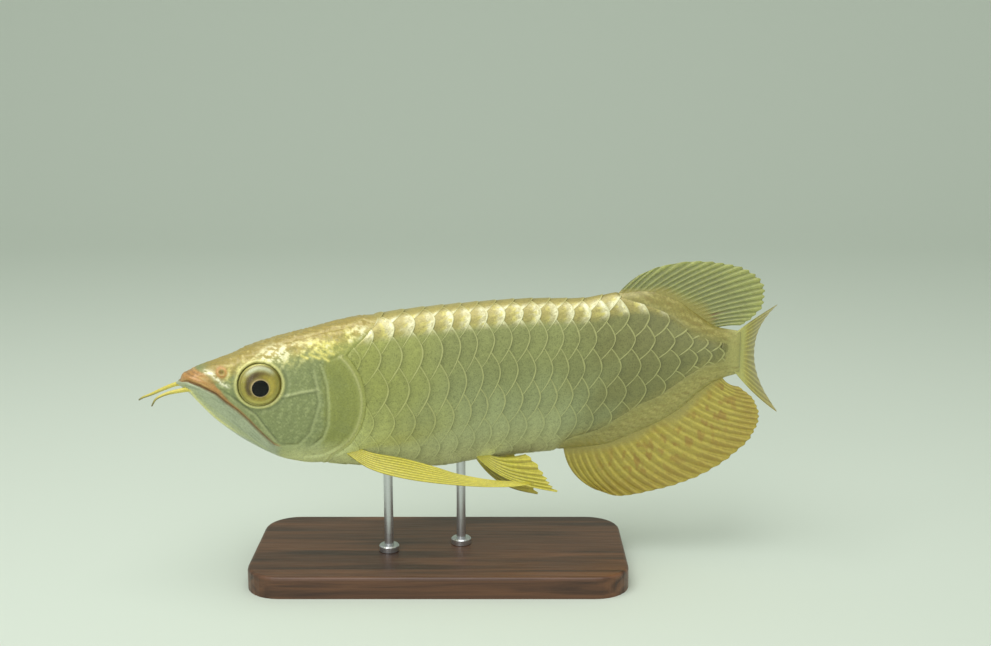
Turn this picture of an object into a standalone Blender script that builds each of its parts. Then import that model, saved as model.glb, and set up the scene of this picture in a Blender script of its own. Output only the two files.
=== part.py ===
"""Asian arowana, life size: a still museum model on a two-rod display stand.

The fish faces -X and turns its left side to -Y, with +Z up. The origin is the
centre of the stand's underside. Lengths below are in millimetres and are scaled
to metres when the meshes are made. A place on the fish is given as
(along, side, height): along the spine from the snout, out to the fish's left,
and above the floor.
"""

import math

import bmesh
import bpy
import numpy as np
from mathutils import Vector

COLLECTION = "asian_arowana"
MM = 0.001
GAP = 0.3

# The spine seen from above: along, heading in degrees, 0 being straight back
HEADINGS = ((-30, 18.0), (100, 17.0), (170, 14.5), (230, 9.0), (280, 1.0), (330, -7.0), (400, -12.5))
BALANCE_POINT = 165.0
SPINE_STEP = 0.5

# The body: each line is a few (along, value) knots
BACK_LINE = (
    (3, 136.4), (8, 141.5), (20, 146.2), (35, 150.7), (50, 156.4), (76, 162.3), (120, 170.5), (170, 174.3),
    (225, 176.2), (255, 175.6), (283, 179.6), (300, 181.0), (318, 176.0), (334, 165.5), (346, 157.2), (362, 154.8),
)
BELLY_LINE = (
    (3, 134.8), (8, 130.2), (24, 111.6), (45, 94.2), (68, 81.6), (95, 76.0), (165, 68.5), (195, 71.3),
    (250, 74.3), (272, 76.2), (293, 83.5), (320, 99.5), (346, 121.8), (362, 127.8),
)
HALF_WIDTH = (
    (3, 2.2), (5, 5.0), (10, 8.8), (20, 11.7), (40, 14.9), (80, 18.6), (125, 20.2), (180, 20.6),
    (235, 18.8), (285, 13.8), (330, 8.8), (355, 6.0), (362, 3.4),
)
WIDEST_HEIGHT = ((3, 135.7), (20, 135.5), (60, 129.5), (110, 126), (200, 129), (285, 134), (330, 140), (362, 141.4))
FULLNESS_ABOVE = ((3, 2.2), (20, 2.6), (60, 2.8), (125, 2.5), (200, 2.3), (262, 2.0), (300, 1.6), (362, 2.4))
FULLNESS_BELOW = ((3, 2.0), (40, 1.7), (95, 1.8), (200, 1.85), (262, 1.7), (310, 1.5), (335, 1.6), (362, 2.4))
RING_SPACING = ((0, 3.0), (7, 22.0), (40, 354.0), (43, 362.0))
RINGS = 44
RING_HALF_POINTS = 14

# Side-view cuts that part the flesh: (along, height)
MOUTH_SLIT = (
    (7.6, 150), (7.8, 138.8), (15, 135.3), (24, 130), (36.6, 118), (43, 111), (51, 101), (61, 91.5), (67, 70),
)
NAPE_CUT = ((118, 186), (117.5, 156), (108, 150.5))
GILL_CENTRE = (76.0, 119.0)
GILL_REACH = (36.0, 40.0)
GILL_TOP_ANGLE = 48.0
GILL_LOW_ANGLE = -62.0
THROAT_CUT = ((90, 78), (88, 60))
CHEEK_EDGE = ((77.5, 90.5), (82.5, 102), (85.5, 117), (85, 132), (84, 142), (88.5, 149))
GILL_PLATE = 2.8
GILL_EDGE_STEPS = 16
GILL_OPENING = 8.0
TAIL_CUT = 249.0
CUT_REACH = 45.0
CUT_STEP = 9.0

# Eyes
EYE_ALONG = 49.6
EYE_HEIGHT = 134.6
EYE_RADIUS = 12.8
EYE_DEPTH = 8.0
EYE_STANDS_OUT = 2.6

# Fins, as (along, height) or (along, side, height) knots
FIN_THICKNESS = 0.9
FIN_ROOT_DEPTH = 4.0
DORSAL_BASE = ((281, 181), (300, 181.5), (318, 176.5), (331, 168), (342, 159.5))
DORSAL_MARGIN = (
    (296, 190.8), (311, 196.8), (333, 200), (349, 199), (362, 196.2), (371, 190.6), (375.4, 182.5),
    (375, 174), (369, 165), (361, 158.6),
)
ANAL_BASE = (
    (247, 75), (262, 76), (279, 79), (296, 86.5), (313, 95.8), (328, 106.5), (341, 117.5), (350, 124),
)
ANAL_MARGIN = (
    (270, 45.5), (286, 41), (309, 45.6), (333, 54.2), (356, 69.4), (370.5, 85.5), (374.8, 98), (371, 109.5),
    (361, 118.3),
)
ANAL_BOW = 6.0
DORSAL_BOW = -1.0
TAIL_ROOT = 357.0
TAIL_ROOT_HEIGHTS = (128.6, 153.6)
TAIL_STRAIGHT_RUN = 14.0
TAIL_FAN_RISE = (-17.0, 12.0)
# Ends of the lowest, middle and highest ray, in the frame of the stand
TAIL_RAY_ENDS = ((226.0, 35.0, 93.3), (211.5, 58.0, 131.0), (224.3, 42.0, 167.1))
PECTORAL_LEAD = (
    (102, 8.5, 85), (115, 22.5, 77.5), (132, 34.4, 73.9), (155, 45.9, 71.8), (179, 55, 70.9), (198, 61.2, 71.6),
    (213.4, 65.1, 73.8),
)
PECTORAL_TRAIL = (
    (108, 8.5, 88), (119, 15.2, 85.3), (135, 18.4, 81.9), (154, 29.5, 78), (169, 40, 74.8), (189, 51.5, 73.2),
    (213.4, 64.7, 74.6),
)
PELVIC_ROOT = ((187.5, 5.0, 75.0), (195.0, 4.0, 76.0))
LEFT_PELVIC_MARGIN = (
    (239.6, 34.5, 56.3), (235, 32, 59.5), (232, 30, 62.8), (229.5, 28, 66.8), (225, 24, 73), (219.5, 19, 78.5),
)
RIGHT_PELVIC_MARGIN = (
    (235.1, 14, 38.6), (231, 14.6, 43.5), (228, 15, 48.5), (225, 15.3, 54.5), (221, 15.5, 62.5), (216, 15.5, 71),
)
LEFT_PELVIC_BOW = 7.0
RIGHT_PELVIC_BOW = 9.5

# Feelers at the tip of the lower jaw
BARBEL_RADIUS = 1.45
BARBEL_TIP_RADIUS = 0.4
LEFT_BARBEL = (
    (8, 5.4, 132.6), (4, 5.8, 132.2), (-1.5, 5.8, 131.5), (-6.5, 6.2, 130.3), (-10.8, 7, 128.4), (-13.6, 8.1, 124.4),
)
RIGHT_BARBEL = (
    (7, -2.6, 134.6), (2.5, -3.2, 134.2), (-5.7, -5.1, 131.2), (-12.4, -7.3, 128), (-17.7, -9.1, 125.8),
    (-20, -9.8, 124.2),
)

# Display stand
BASE_LENGTH = 240.0
BASE_DEPTH = 110.0
BASE_HEIGHT = 14.0
BASE_CORNER = 22.0
BASE_EDGE = 2.0
ROD_RADIUS = 3.0
ROD_PLACES = {"stand_rod_front": 131.0, "stand_rod_rear": 179.0}
ROD_IN_BASE = 8.0
ROD_IN_BELLY = 10.0
ROD_CHAMFER = 0.6
COLLAR_RADIUS = 6.5
COLLAR_HEIGHT = 4.0
COLLAR_CHAMFER = 0.8
ROUND_SEGMENTS = 24


def smooth(table, where):
    """Monotone cubic through (knot, value) pairs, level past both ends."""
    knots, values = (np.array(column, float) for column in zip(*table))
    where = np.clip(np.asarray(where, float), knots[0], knots[-1])
    step = np.diff(knots)
    slope = np.diff(values) / step
    tangent = np.concatenate([slope[:1], np.zeros(len(knots) - 2), slope[-1:]])
    for i in range(1, len(knots) - 1):
        if slope[i - 1] * slope[i] > 0:
            before = 2 * step[i] + step[i - 1]
            after = step[i] + 2 * step[i - 1]
            tangent[i] = (before + after) / (before / slope[i - 1] + after / slope[i])
    i = np.clip(np.searchsorted(knots, where) - 1, 0, len(knots) - 2)
    t = (where - knots[i]) / step[i]
    rise = t * t * (3 - 2 * t)
    leave = t * (1 - t) ** 2 * step[i] * tangent[i]
    arrive = t * t * (1 - t) * step[i] * tangent[i + 1]
    return values[i] * (1 - rise) + values[i + 1] * rise + leave - arrive


def curve(points, u):
    """The smooth curve through the points, u running from 0 to 1 by point number."""
    knots = np.linspace(0, 1, len(points))
    return np.stack([smooth(list(zip(knots, axis)), u) for axis in zip(*points)], axis=-1)


SPINE_ALONG = np.arange(HEADINGS[0][0], HEADINGS[-1][0] + SPINE_STEP, SPINE_STEP)
SPINE_HEADING = np.radians(smooth(HEADINGS, SPINE_ALONG))


def spine_track(direction):
    """One coordinate of the spine, summed from its headings, zero at the balance point."""
    steps = (direction[1:] + direction[:-1]) / 2 * SPINE_STEP
    track = np.concatenate([[0], np.cumsum(steps)])
    return track - np.interp(BALANCE_POINT, SPINE_ALONG, track)


SPINE_X = spine_track(np.cos(SPINE_HEADING))
SPINE_Y = spine_track(np.sin(SPINE_HEADING))


def to_world(along, side, height):
    """Points in metres for places on the fish in millimetres."""
    along, side, height = np.broadcast_arrays(
        np.asarray(along, float), np.asarray(side, float), np.asarray(height, float)
    )
    heading = np.interp(along, SPINE_ALONG, SPINE_HEADING)
    x = np.interp(along, SPINE_ALONG, SPINE_X) + side * np.sin(heading)
    y = np.interp(along, SPINE_ALONG, SPINE_Y) - side * np.cos(heading)
    return np.stack([x, y, height], axis=-1) * MM


def section(along, grow=0.0):
    """The body's outline at one place, as (side, height): down the left half, then up the right."""
    back = float(smooth(BACK_LINE, along)) + grow
    belly = float(smooth(BELLY_LINE, along)) - grow
    width = max(float(smooth(HALF_WIDTH, along)) + grow, 0.4)
    widest = float(smooth(WIDEST_HEIGHT, along))
    turn = np.linspace(0, math.pi, 241)
    upper = turn < math.pi / 2
    power = 2 / np.where(upper, float(smooth(FULLNESS_ABOVE, along)), float(smooth(FULLNESS_BELOW, along)))
    reach = np.where(upper, back - widest, widest - belly)
    side = width * np.sin(turn) ** power
    height = widest + np.sign(np.cos(turn)) * reach * np.abs(np.cos(turn)) ** power
    walked = np.concatenate([[0], np.cumsum(np.hypot(np.diff(side), np.diff(height)))])
    even = np.linspace(0, walked[-1], RING_HALF_POINTS)
    half = np.stack([np.interp(even, walked, side), np.interp(even, walked, height)], axis=-1)
    half[0, 0] = half[-1, 0] = 0
    return np.concatenate([half, half[-2:0:-1] * (-1, 1)])


def surface_point(along, height):
    """A place on the left flank at this height, and the outward direction there."""
    def place(at, level):
        ring = section(at)[:RING_HALF_POINTS]
        return to_world(at, np.interp(-level, -ring[:, 1], ring[:, 0]), level)

    here = place(along, height)
    ahead = place(along + 4, height) - here
    above = place(along, height + 4) - here
    outward = np.cross(ahead, above)
    return here, outward / np.linalg.norm(outward)


def add_object(name, mesh, collection, material=None):
    made = bpy.data.objects.new(name, mesh)
    collection.objects.link(made)
    if material:
        mesh.materials.append(material)
    return made


def as_helper(made):
    made.hide_render = True
    made.display_type = "WIRE"
    return made


def grid_mesh(name, points, ring=False):
    """A mesh over rows of points. A ring grid joins its last column to its first and closes both ends."""
    rows, columns = points.shape[:2]
    build = bmesh.new()
    verts = [[build.verts.new(point) for point in row] for row in points]
    for i in range(rows - 1):
        for j in range(columns if ring else columns - 1):
            after = (j + 1) % columns
            build.faces.new((verts[i][j], verts[i][after], verts[i + 1][after], verts[i + 1][j]))
    if ring:
        build.faces.new(verts[0][::-1])
        build.faces.new(verts[-1])
        bmesh.ops.recalc_face_normals(build, faces=build.faces)
    mesh = bpy.data.meshes.new(name)
    build.to_mesh(mesh)
    build.free()
    return mesh


def body_mesh(name, grow=0.0):
    """The whole fish without its fins, grown or shrunk all round by a few tenths or millimetres."""
    places = np.interp(np.arange(RINGS), *zip(*RING_SPACING))
    shift = np.linspace(-1, 1, RINGS) ** 15 * grow
    rings = []
    for place, moved in zip(places, shift):
        outline = section(place, grow)
        rings.append(to_world(place + moved, outline[:, 0], outline[:, 1]))
    return grid_mesh(name, np.array(rings), ring=True)


def grown_outline(outline, by):
    """A side-view outline moved out by this much along its corner normals."""
    points = np.array(outline, float)
    before = points - np.roll(points, 1, axis=0)
    after = np.roll(points, -1, axis=0) - points
    normals = []
    for edge in (before, after):
        turned = np.stack([edge[:, 1], -edge[:, 0]], axis=-1)
        normals.append(turned / np.linalg.norm(turned, axis=1, keepdims=True))
    middle = normals[0] + normals[1]
    middle /= (middle * middle).sum(axis=1, keepdims=True) / 2
    area = (points[:, 0] * np.roll(points[:, 1], -1) - np.roll(points[:, 0], -1) * points[:, 1]).sum()
    return points + middle * by * math.copysign(1, area)


def region(name, outline, collection, sides=(-CUT_REACH, CUT_REACH), grow=0.0):
    """A cutter: a side-view outline run across the body square to the spine."""
    points = grown_outline(outline, grow) if grow else np.array(outline, float)
    dense = []
    for start, end in zip(points, np.roll(points, -1, axis=0)):
        pieces = max(1, math.ceil(np.linalg.norm(end - start) / CUT_STEP))
        dense += [start + (end - start) * i / pieces for i in range(pieces)]
    dense = np.array(dense)
    walls = np.array([to_world(dense[:, 0], side, dense[:, 1]) for side in sides])
    mesh = grid_mesh(name, walls, ring=True)
    build = bmesh.new()
    build.from_mesh(mesh)
    bmesh.ops.triangulate(build, faces=[face for face in build.faces if len(face.verts) > 4])
    build.to_mesh(mesh)
    build.free()
    return as_helper(add_object(name, mesh, collection))


def gill_edge():
    """The round rear edge of the gill cover, from its top to the throat."""
    angles = np.radians(np.linspace(GILL_TOP_ANGLE, GILL_LOW_ANGLE, GILL_EDGE_STEPS))
    return [
        (GILL_CENTRE[0] + GILL_REACH[0] * math.cos(angle), GILL_CENTRE[1] + GILL_REACH[1] * math.sin(angle))
        for angle in angles
    ]


def cut(target, cutter, operation="DIFFERENCE"):
    modifier = target.modifiers.new(f"{operation.lower()} {cutter.name}", "BOOLEAN")
    modifier.operation = operation
    modifier.object = cutter


def principled(name, colour, roughness, metallic=0.0):
    material = bpy.data.materials.new(name)
    material.use_nodes = True
    shader = material.node_tree.nodes["Principled BSDF"]
    shader.inputs["Base Color"].default_value = (*colour, 1)
    shader.inputs["Roughness"].default_value = roughness
    shader.inputs["Metallic"].default_value = metallic
    return material


def shade_round(made, angle=50.0):
    made.data.shade_smooth()
    made.data.set_sharp_from_angle(angle=math.radians(angle))


def make_flesh(parts, cutters, flesh, plate):
    """Head, lower jaw, gill covers, trunk and tail, parted by thin cuts through one body."""
    nape = list(NAPE_CUT)
    head_outline = [(-30, 186), *nape, *gill_edge(), *THROAT_CUT, (-30, 60)]
    jaw_outline = [(-20, 150), *MOUTH_SLIT, (-20, 70)]
    cheek = curve(CHEEK_EDGE, np.linspace(0, 1, 12))
    gill_outline = [*gill_edge(), *cheek]
    past_edge = [
        (place + GILL_OPENING * (i not in (0, GILL_EDGE_STEPS - 1)), height)
        for i, (place, height) in enumerate(gill_edge())
    ]
    pocket_outline = [*past_edge, *cheek]

    head_region = region("cutter_head", head_outline, cutters)
    behind_head = region("cutter_head_gap", head_outline, cutters, grow=GAP)
    jaw_region = region("cutter_jaw", jaw_outline, cutters)
    above_jaw = region("cutter_jaw_gap", jaw_outline, cutters, grow=GAP)
    rear = [(TAIL_CUT, 30), (400, 30), (400, 230), (TAIL_CUT, 230)]
    tail_region = region("cutter_tail", rear, cutters, grow=-GAP)
    before_tail = region("cutter_tail_gap", rear, cutters)

    head = add_object("head", body_mesh("head"), parts, flesh)
    cut(head, head_region, "INTERSECT")
    cut(head, above_jaw)
    jaw = add_object("lower_jaw", body_mesh("lower_jaw"), parts, flesh)
    cut(jaw, jaw_region, "INTERSECT")

    for side, reach in (("left", (3.0, CUT_REACH)), ("right", (-CUT_REACH, -3.0))):
        inner = as_helper(add_object(f"cutter_inner_{side}", body_mesh("inner", -GILL_PLATE), cutters))
        deeper = as_helper(add_object(f"cutter_deeper_{side}", body_mesh("deeper", -GILL_PLATE - GAP), cutters))
        gill_region = region(f"cutter_gill_{side}", gill_outline, cutters, reach)
        cover = add_object(f"gill_cover_{side}", body_mesh("gill_cover"), parts, plate)
        cut(cover, gill_region, "INTERSECT")
        cut(cover, inner)
        pocket = region(f"cutter_pocket_{side}", pocket_outline, cutters, reach, grow=GAP)
        cut(pocket, deeper)
        cut(head, pocket)

    trunk = add_object("trunk", body_mesh("trunk"), parts, flesh)
    cut(trunk, behind_head)
    cut(trunk, before_tail)
    tail = add_object("tail", body_mesh("tail"), parts, flesh)
    cut(tail, tail_region, "INTERSECT")
    for made in parts.objects:
        shade_round(made)
    return head, trunk


def ellipsoid(name, collection, place, outward, radius, depth, segments, rings):
    """A round lens shape with its short axis along the outward direction."""
    build = bmesh.new()
    bmesh.ops.create_uvsphere(build, u_segments=segments, v_segments=rings, radius=1.0)
    bmesh.ops.scale(build, vec=(radius * MM, radius * MM, depth * MM), verts=build.verts)
    mesh = bpy.data.meshes.new(name)
    build.to_mesh(mesh)
    build.free()
    made = add_object(name, mesh, collection)
    made.location = place
    made.rotation_mode = "QUATERNION"
    made.rotation_quaternion = Vector((0, 0, 1)).rotation_difference(Vector(outward))
    return made


def make_eyes(parts, cutters, head, material):
    """Eyeballs seated in round sockets, the right one mirrored across the spine."""
    sink = EYE_DEPTH - EYE_STANDS_OUT
    left, outward = surface_point(EYE_ALONG, EYE_HEIGHT)
    heading = np.interp(EYE_ALONG, SPINE_ALONG, SPINE_HEADING)
    across = np.array([math.sin(heading), -math.cos(heading), 0])
    on_spine = to_world(EYE_ALONG, 0, EYE_HEIGHT)
    for side in ("left", "right"):
        place, out = left, outward
        if side == "right":
            place = left - 2 * across * np.dot(left - on_spine, across)
            out = outward - 2 * across * np.dot(outward, across)
        centre = place - out * sink * MM
        eye = ellipsoid(f"eye_{side}", parts, centre, out, EYE_RADIUS, EYE_DEPTH, 20, 10)
        eye.data.materials.append(material)
        shade_round(eye)
        socket = ellipsoid(
            f"cutter_socket_{side}", cutters, centre, out, EYE_RADIUS + GAP, EYE_DEPTH + GAP, 20, 10
        )
        cut(head, as_helper(socket))


def dorsal_point(u, v):
    """u runs back along the base, v up the ray."""
    base = curve(DORSAL_BASE, u) - (0, FIN_ROOT_DEPTH)
    return ray_point(base, curve(DORSAL_MARGIN, u), v, DORSAL_BOW)


def anal_point(u, v):
    """u runs back along the base, v down the ray."""
    base = curve(ANAL_BASE, u) + (-0.4 * FIN_ROOT_DEPTH * u, FIN_ROOT_DEPTH)
    return ray_point(base, curve(ANAL_MARGIN, u), v, ANAL_BOW * (1 - 0.5 * u))


def ray_point(base, end, v, bow):
    """A place on a bowed ray in the median plane, as points in metres."""
    reach = end - base
    forward = np.array([reach[1], -reach[0]]) / np.linalg.norm(reach)
    place = base + reach * v + forward * bow * 4 * v * (1 - v)
    return to_world(place[0], 0, place[1])


def tail_fin_point(u, v):
    """u runs from the lowest ray to the highest, v out along the ray, which first runs on straight."""
    low, high = TAIL_ROOT_HEIGHTS
    root = to_world(TAIL_ROOT, 0, low + (high - low) * u)
    ahead = to_world(TAIL_ROOT + 10, 0, 0) - to_world(TAIL_ROOT, 0, 0)
    ahead = ahead / np.linalg.norm(ahead)
    lowest, middle, highest = (np.array(end) * MM for end in TAIL_RAY_ENDS)
    outer = 2 * u - 1
    tip = highest if outer > 0 else lowest
    spread = abs(outer)
    end = middle + (tip - middle) * np.array([spread**2, spread**2, spread**0.95])
    rise = np.interp(outer, (-1, 0, 1), (TAIL_FAN_RISE[0], 0, TAIL_FAN_RISE[1]))
    bend = root + (ahead * TAIL_STRAIGHT_RUN + (0, 0, rise)) * MM
    return root * (1 - v) ** 2 + bend * 2 * v * (1 - v) + end * v * v


def pectoral_point(side):
    """u runs from the leading ray to the trailing edge, v out to the tip."""
    def point(u, v):
        place = curve(PECTORAL_LEAD, v) * (1 - u) + curve(PECTORAL_TRAIL, v) * u
        return to_world(place[0], side * place[1], place[2])
    return point


def pelvic_point(side, margin, bow):
    """u runs from the long front ray to the short rear one, v out to the margin."""
    def point(u, v):
        root = curve(PELVIC_ROOT, u)
        end = curve(margin, u)
        place = root + (end - root) * v
        sag = bow * (1 - 0.6 * u) * math.sin(math.pi * v**0.75)
        return to_world(place[0], side * place[1], place[2] - sag)
    return point


def make_fins(parts, cutters, membrane, bright):
    """Each fin is one thin sheet over its rays, cut to stand just clear of the body."""
    clear = as_helper(add_object("cutter_body_clear", body_mesh("body_clear", GAP), cutters))
    fins = (
        ("dorsal_fin", dorsal_point, 15, 5, membrane),
        ("anal_fin", anal_point, 18, 6, membrane),
        ("caudal_fin", tail_fin_point, 13, 8, membrane),
        ("pectoral_fin_left", pectoral_point(1), 4, 12, bright),
        ("pectoral_fin_right", pectoral_point(-1), 4, 12, bright),
        ("pelvic_fin_left", pelvic_point(1, LEFT_PELVIC_MARGIN, LEFT_PELVIC_BOW), 7, 7, bright),
        ("pelvic_fin_right", pelvic_point(-1, RIGHT_PELVIC_MARGIN, RIGHT_PELVIC_BOW), 7, 7, bright),
    )
    for name, point, across, out, material in fins:
        grid = [[point(u, v) for v in np.linspace(0, 1, out)] for u in np.linspace(0, 1, across)]
        fin = add_object(name, grid_mesh(name, np.array(grid)), parts, material)
        shell = fin.modifiers.new("thickness", "SOLIDIFY")
        shell.thickness = FIN_THICKNESS * MM
        shell.offset = 0
        cut(fin, clear)
        shade_round(fin)


def tube_mesh(name, points, radii, sides_resolution=2):
    """A closed tapered tube along the points."""
    line = bpy.data.curves.new(name, "CURVE")
    line.dimensions = "3D"
    line.bevel_depth = MM
    line.bevel_resolution = sides_resolution
    line.use_fill_caps = True
    spline = line.splines.new("POLY")
    spline.points.add(len(points) - 1)
    for knot, point, radius in zip(spline.points, points, radii):
        knot.co = (*point, 1)
        knot.radius = radius
    guide = bpy.data.objects.new(name, line)
    bpy.context.scene.collection.objects.link(guide)
    graph = bpy.context.evaluated_depsgraph_get()
    mesh = bpy.data.meshes.new_from_object(guide.evaluated_get(graph))
    bpy.data.objects.remove(guide)
    build = bmesh.new()
    build.from_mesh(mesh)
    bmesh.ops.remove_doubles(build, verts=build.verts, dist=0.00001)
    bmesh.ops.recalc_face_normals(build, faces=build.faces)
    build.to_mesh(mesh)
    build.free()
    return mesh


def make_barbels(parts, cutters, material):
    """The pair of tapering feelers on the tip of the lower jaw."""
    clear = bpy.data.objects["cutter_body_clear"]
    for side, knots in (("left", LEFT_BARBEL), ("right", RIGHT_BARBEL)):
        steps = np.linspace(0, 1, 16)
        places = curve(knots, steps)
        points = to_world(places[:, 0], places[:, 1], places[:, 2])
        radii = BARBEL_RADIUS + (BARBEL_TIP_RADIUS - BARBEL_RADIUS) * steps**1.2
        feeler = add_object(f"barbel_{side}", tube_mesh(f"barbel_{side}", points, radii), parts, material)
        cut(feeler, clear)
        shade_round(feeler)


def rod_place(along):
    return to_world(along, 0, 0)


def cylinder(name, collection, place, radius, bottom, top):
    """A plain upright cylinder between two heights."""
    build = bmesh.new()
    bmesh.ops.create_cone(
        build, cap_ends=True, segments=ROUND_SEGMENTS, radius1=radius * MM, radius2=radius * MM,
        depth=(top - bottom) * MM,
    )
    mesh = bpy.data.meshes.new(name)
    build.to_mesh(mesh)
    build.free()
    made = add_object(name, mesh, collection)
    made.location = (place[0], place[1], (bottom + top) / 2 * MM)
    return made


def make_stand(parts, cutters, trunk, wood, steel):
    """A flat base with two short rods that run up into the belly."""
    build = bmesh.new()
    bmesh.ops.create_cube(build, size=1.0)
    bmesh.ops.scale(build, vec=(BASE_LENGTH * MM, BASE_DEPTH * MM, BASE_HEIGHT * MM), verts=build.verts)
    bmesh.ops.translate(build, vec=(0, 0, BASE_HEIGHT / 2 * MM), verts=build.verts)
    upright = [edge for edge in build.edges if abs(edge.verts[0].co.z - edge.verts[1].co.z) > MM]
    bmesh.ops.bevel(
        build, geom=upright, offset=BASE_CORNER * MM, segments=8, profile=0.5, affect="EDGES", offset_type="OFFSET"
    )
    top = [edge for edge in build.edges if all(vert.co.z > (BASE_HEIGHT - 0.1) * MM for vert in edge.verts)]
    bmesh.ops.bevel(
        build, geom=top, offset=BASE_EDGE * MM, segments=3, profile=0.5, affect="EDGES", offset_type="OFFSET"
    )
    mesh = bpy.data.meshes.new("stand_base")
    build.to_mesh(mesh)
    build.free()
    base = add_object("stand_base", mesh, parts, wood)
    shade_round(base, 35)

    for name, along in ROD_PLACES.items():
        place = rod_place(along)
        top = float(smooth(BELLY_LINE, along)) + ROD_IN_BELLY
        bottom = BASE_HEIGHT - ROD_IN_BASE
        collar = BASE_HEIGHT + GAP
        profile = (
            (0, top), (ROD_RADIUS - ROD_CHAMFER, top), (ROD_RADIUS, top - ROD_CHAMFER),
            (ROD_RADIUS, collar + COLLAR_HEIGHT), (COLLAR_RADIUS - COLLAR_CHAMFER, collar + COLLAR_HEIGHT),
            (COLLAR_RADIUS, collar + COLLAR_HEIGHT - COLLAR_CHAMFER), (COLLAR_RADIUS, collar),
            (ROD_RADIUS, collar), (ROD_RADIUS, bottom), (0, bottom),
        )
        mesh = bpy.data.meshes.new(name)
        points = [(radius * MM, 0, height * MM) for radius, height in profile]
        mesh.from_pydata(points, [(i, i + 1) for i in range(len(points) - 1)], [])
        rod = add_object(name, mesh, parts, steel)
        rod.location = (place[0], place[1], 0)
        turn = rod.modifiers.new("turn", "SCREW")
        turn.angle = math.tau
        turn.steps = turn.render_steps = ROUND_SEGMENTS
        turn.use_merge_vertices = True
        turn.merge_threshold = 0.00005
        turn.use_smooth_shade = True
        hole = cylinder(f"{name}_base_hole", cutters, place, ROD_RADIUS + GAP, bottom - GAP, BASE_HEIGHT + 10)
        cut(base, as_helper(hole))
        socket = cylinder(f"{name}_socket", cutters, place, ROD_RADIUS + GAP, BASE_HEIGHT + 20, top + GAP)
        cut(trunk, as_helper(socket))


def main():
    for old in list(bpy.data.objects):
        bpy.data.objects.remove(old)
    parts = bpy.data.collections.new(COLLECTION)
    cutters = bpy.data.collections.new("cutters")
    for collection in (parts, cutters):
        bpy.context.scene.collection.children.link(collection)
    flesh = principled("olive gold skin", (0.30, 0.33, 0.14), 0.38)
    plate = principled("gill cover skin", (0.26, 0.30, 0.11), 0.30)
    membrane = principled("golden fin membrane", (0.42, 0.38, 0.10), 0.45)
    bright = principled("yellow fin membrane", (0.68, 0.60, 0.10), 0.42)
    eye = principled("eye", (0.10, 0.09, 0.04), 0.08)
    feeler = principled("barbel skin", (0.55, 0.50, 0.15), 0.40)
    wood = principled("dark oiled wood", (0.09, 0.05, 0.03), 0.45)
    steel = principled("brushed steel", (0.55, 0.56, 0.57), 0.32, 1.0)

    head, trunk = make_flesh(parts, cutters, flesh, plate)
    make_eyes(parts, cutters, head, eye)
    make_fins(parts, cutters, membrane, bright)
    make_barbels(parts, cutters, feeler)
    make_stand(parts, cutters, trunk, wood, steel)


main()
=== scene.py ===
"""Looks of the asian arowana display model: skin, scales, rayed fins, eyes, feelers and stand.

A place on the fish is (along, side, height) in millimetres: along the spine from the
snout, out to the fish's left, and above the floor. Places become metres in FishForm.world.
A place on the skin is (along, turn): turn runs from 0 on the back to 1 on the keel down
the left flank, and to -1 down the right one.
"""

import logging
import math
from dataclasses import dataclass, field
from enum import Enum
from typing import Callable, Sequence

import bmesh
import bpy
import numpy as np
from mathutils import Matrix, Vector


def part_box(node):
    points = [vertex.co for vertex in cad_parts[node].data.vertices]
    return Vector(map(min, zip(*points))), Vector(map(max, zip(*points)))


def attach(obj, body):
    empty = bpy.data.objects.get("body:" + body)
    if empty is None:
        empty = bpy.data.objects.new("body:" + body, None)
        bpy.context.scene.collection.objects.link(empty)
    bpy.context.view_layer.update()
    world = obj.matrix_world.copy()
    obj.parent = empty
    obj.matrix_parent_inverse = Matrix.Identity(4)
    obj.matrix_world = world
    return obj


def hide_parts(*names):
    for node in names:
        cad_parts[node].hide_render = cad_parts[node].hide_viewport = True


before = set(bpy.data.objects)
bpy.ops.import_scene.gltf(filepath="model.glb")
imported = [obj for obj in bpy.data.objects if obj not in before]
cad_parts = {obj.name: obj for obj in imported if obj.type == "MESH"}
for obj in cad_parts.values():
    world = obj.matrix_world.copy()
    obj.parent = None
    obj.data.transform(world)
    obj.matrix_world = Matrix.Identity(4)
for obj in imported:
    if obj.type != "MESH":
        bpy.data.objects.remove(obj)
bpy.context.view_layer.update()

MM = 0.001
ANAL_RAYS = 27
Table = tuple[tuple[float, ...], ...]
Points = np.ndarray
log = logging.getLogger("arowana")


class Side(Enum):
    """A flank of the fish and the sign of its side coordinate."""

    LEFT = 1
    RIGHT = -1

    @property
    def word(self) -> str:
        """The side's name in lower case."""
        return self.name.lower()


Plate = tuple[int, Side, float]
Solid = tuple[Points, Points, Points]


def smooth(table: Sequence[Sequence[float]], where: Points | float) -> Points:
    """Monotone cubic through (knot, value) pairs, level past both ends.

    Args:
        table: the knots and their values.
        where: where to read the curve.

    Returns:
        The values there.
    """
    knots, values = (np.array(column, float) for column in zip(*table))
    where = np.clip(np.asarray(where, float), knots[0], knots[-1])
    step = np.diff(knots)
    slope = np.diff(values) / step
    tangent = np.concatenate([slope[:1], np.zeros(len(knots) - 2), slope[-1:]])
    for i in range(1, len(knots) - 1):
        if slope[i - 1] * slope[i] > 0:
            before = 2 * step[i] + step[i - 1]
            after = step[i] + 2 * step[i - 1]
            tangent[i] = (before + after) / (before / slope[i - 1] + after / slope[i])
    i = np.clip(np.searchsorted(knots, where) - 1, 0, len(knots) - 2)
    t = (where - knots[i]) / step[i]
    rise = t * t * (3 - 2 * t)
    leave = t * (1 - t) ** 2 * step[i] * tangent[i]
    arrive = t * t * (1 - t) * step[i] * tangent[i + 1]
    return values[i] * (1 - rise) + values[i + 1] * rise + leave - arrive


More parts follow.
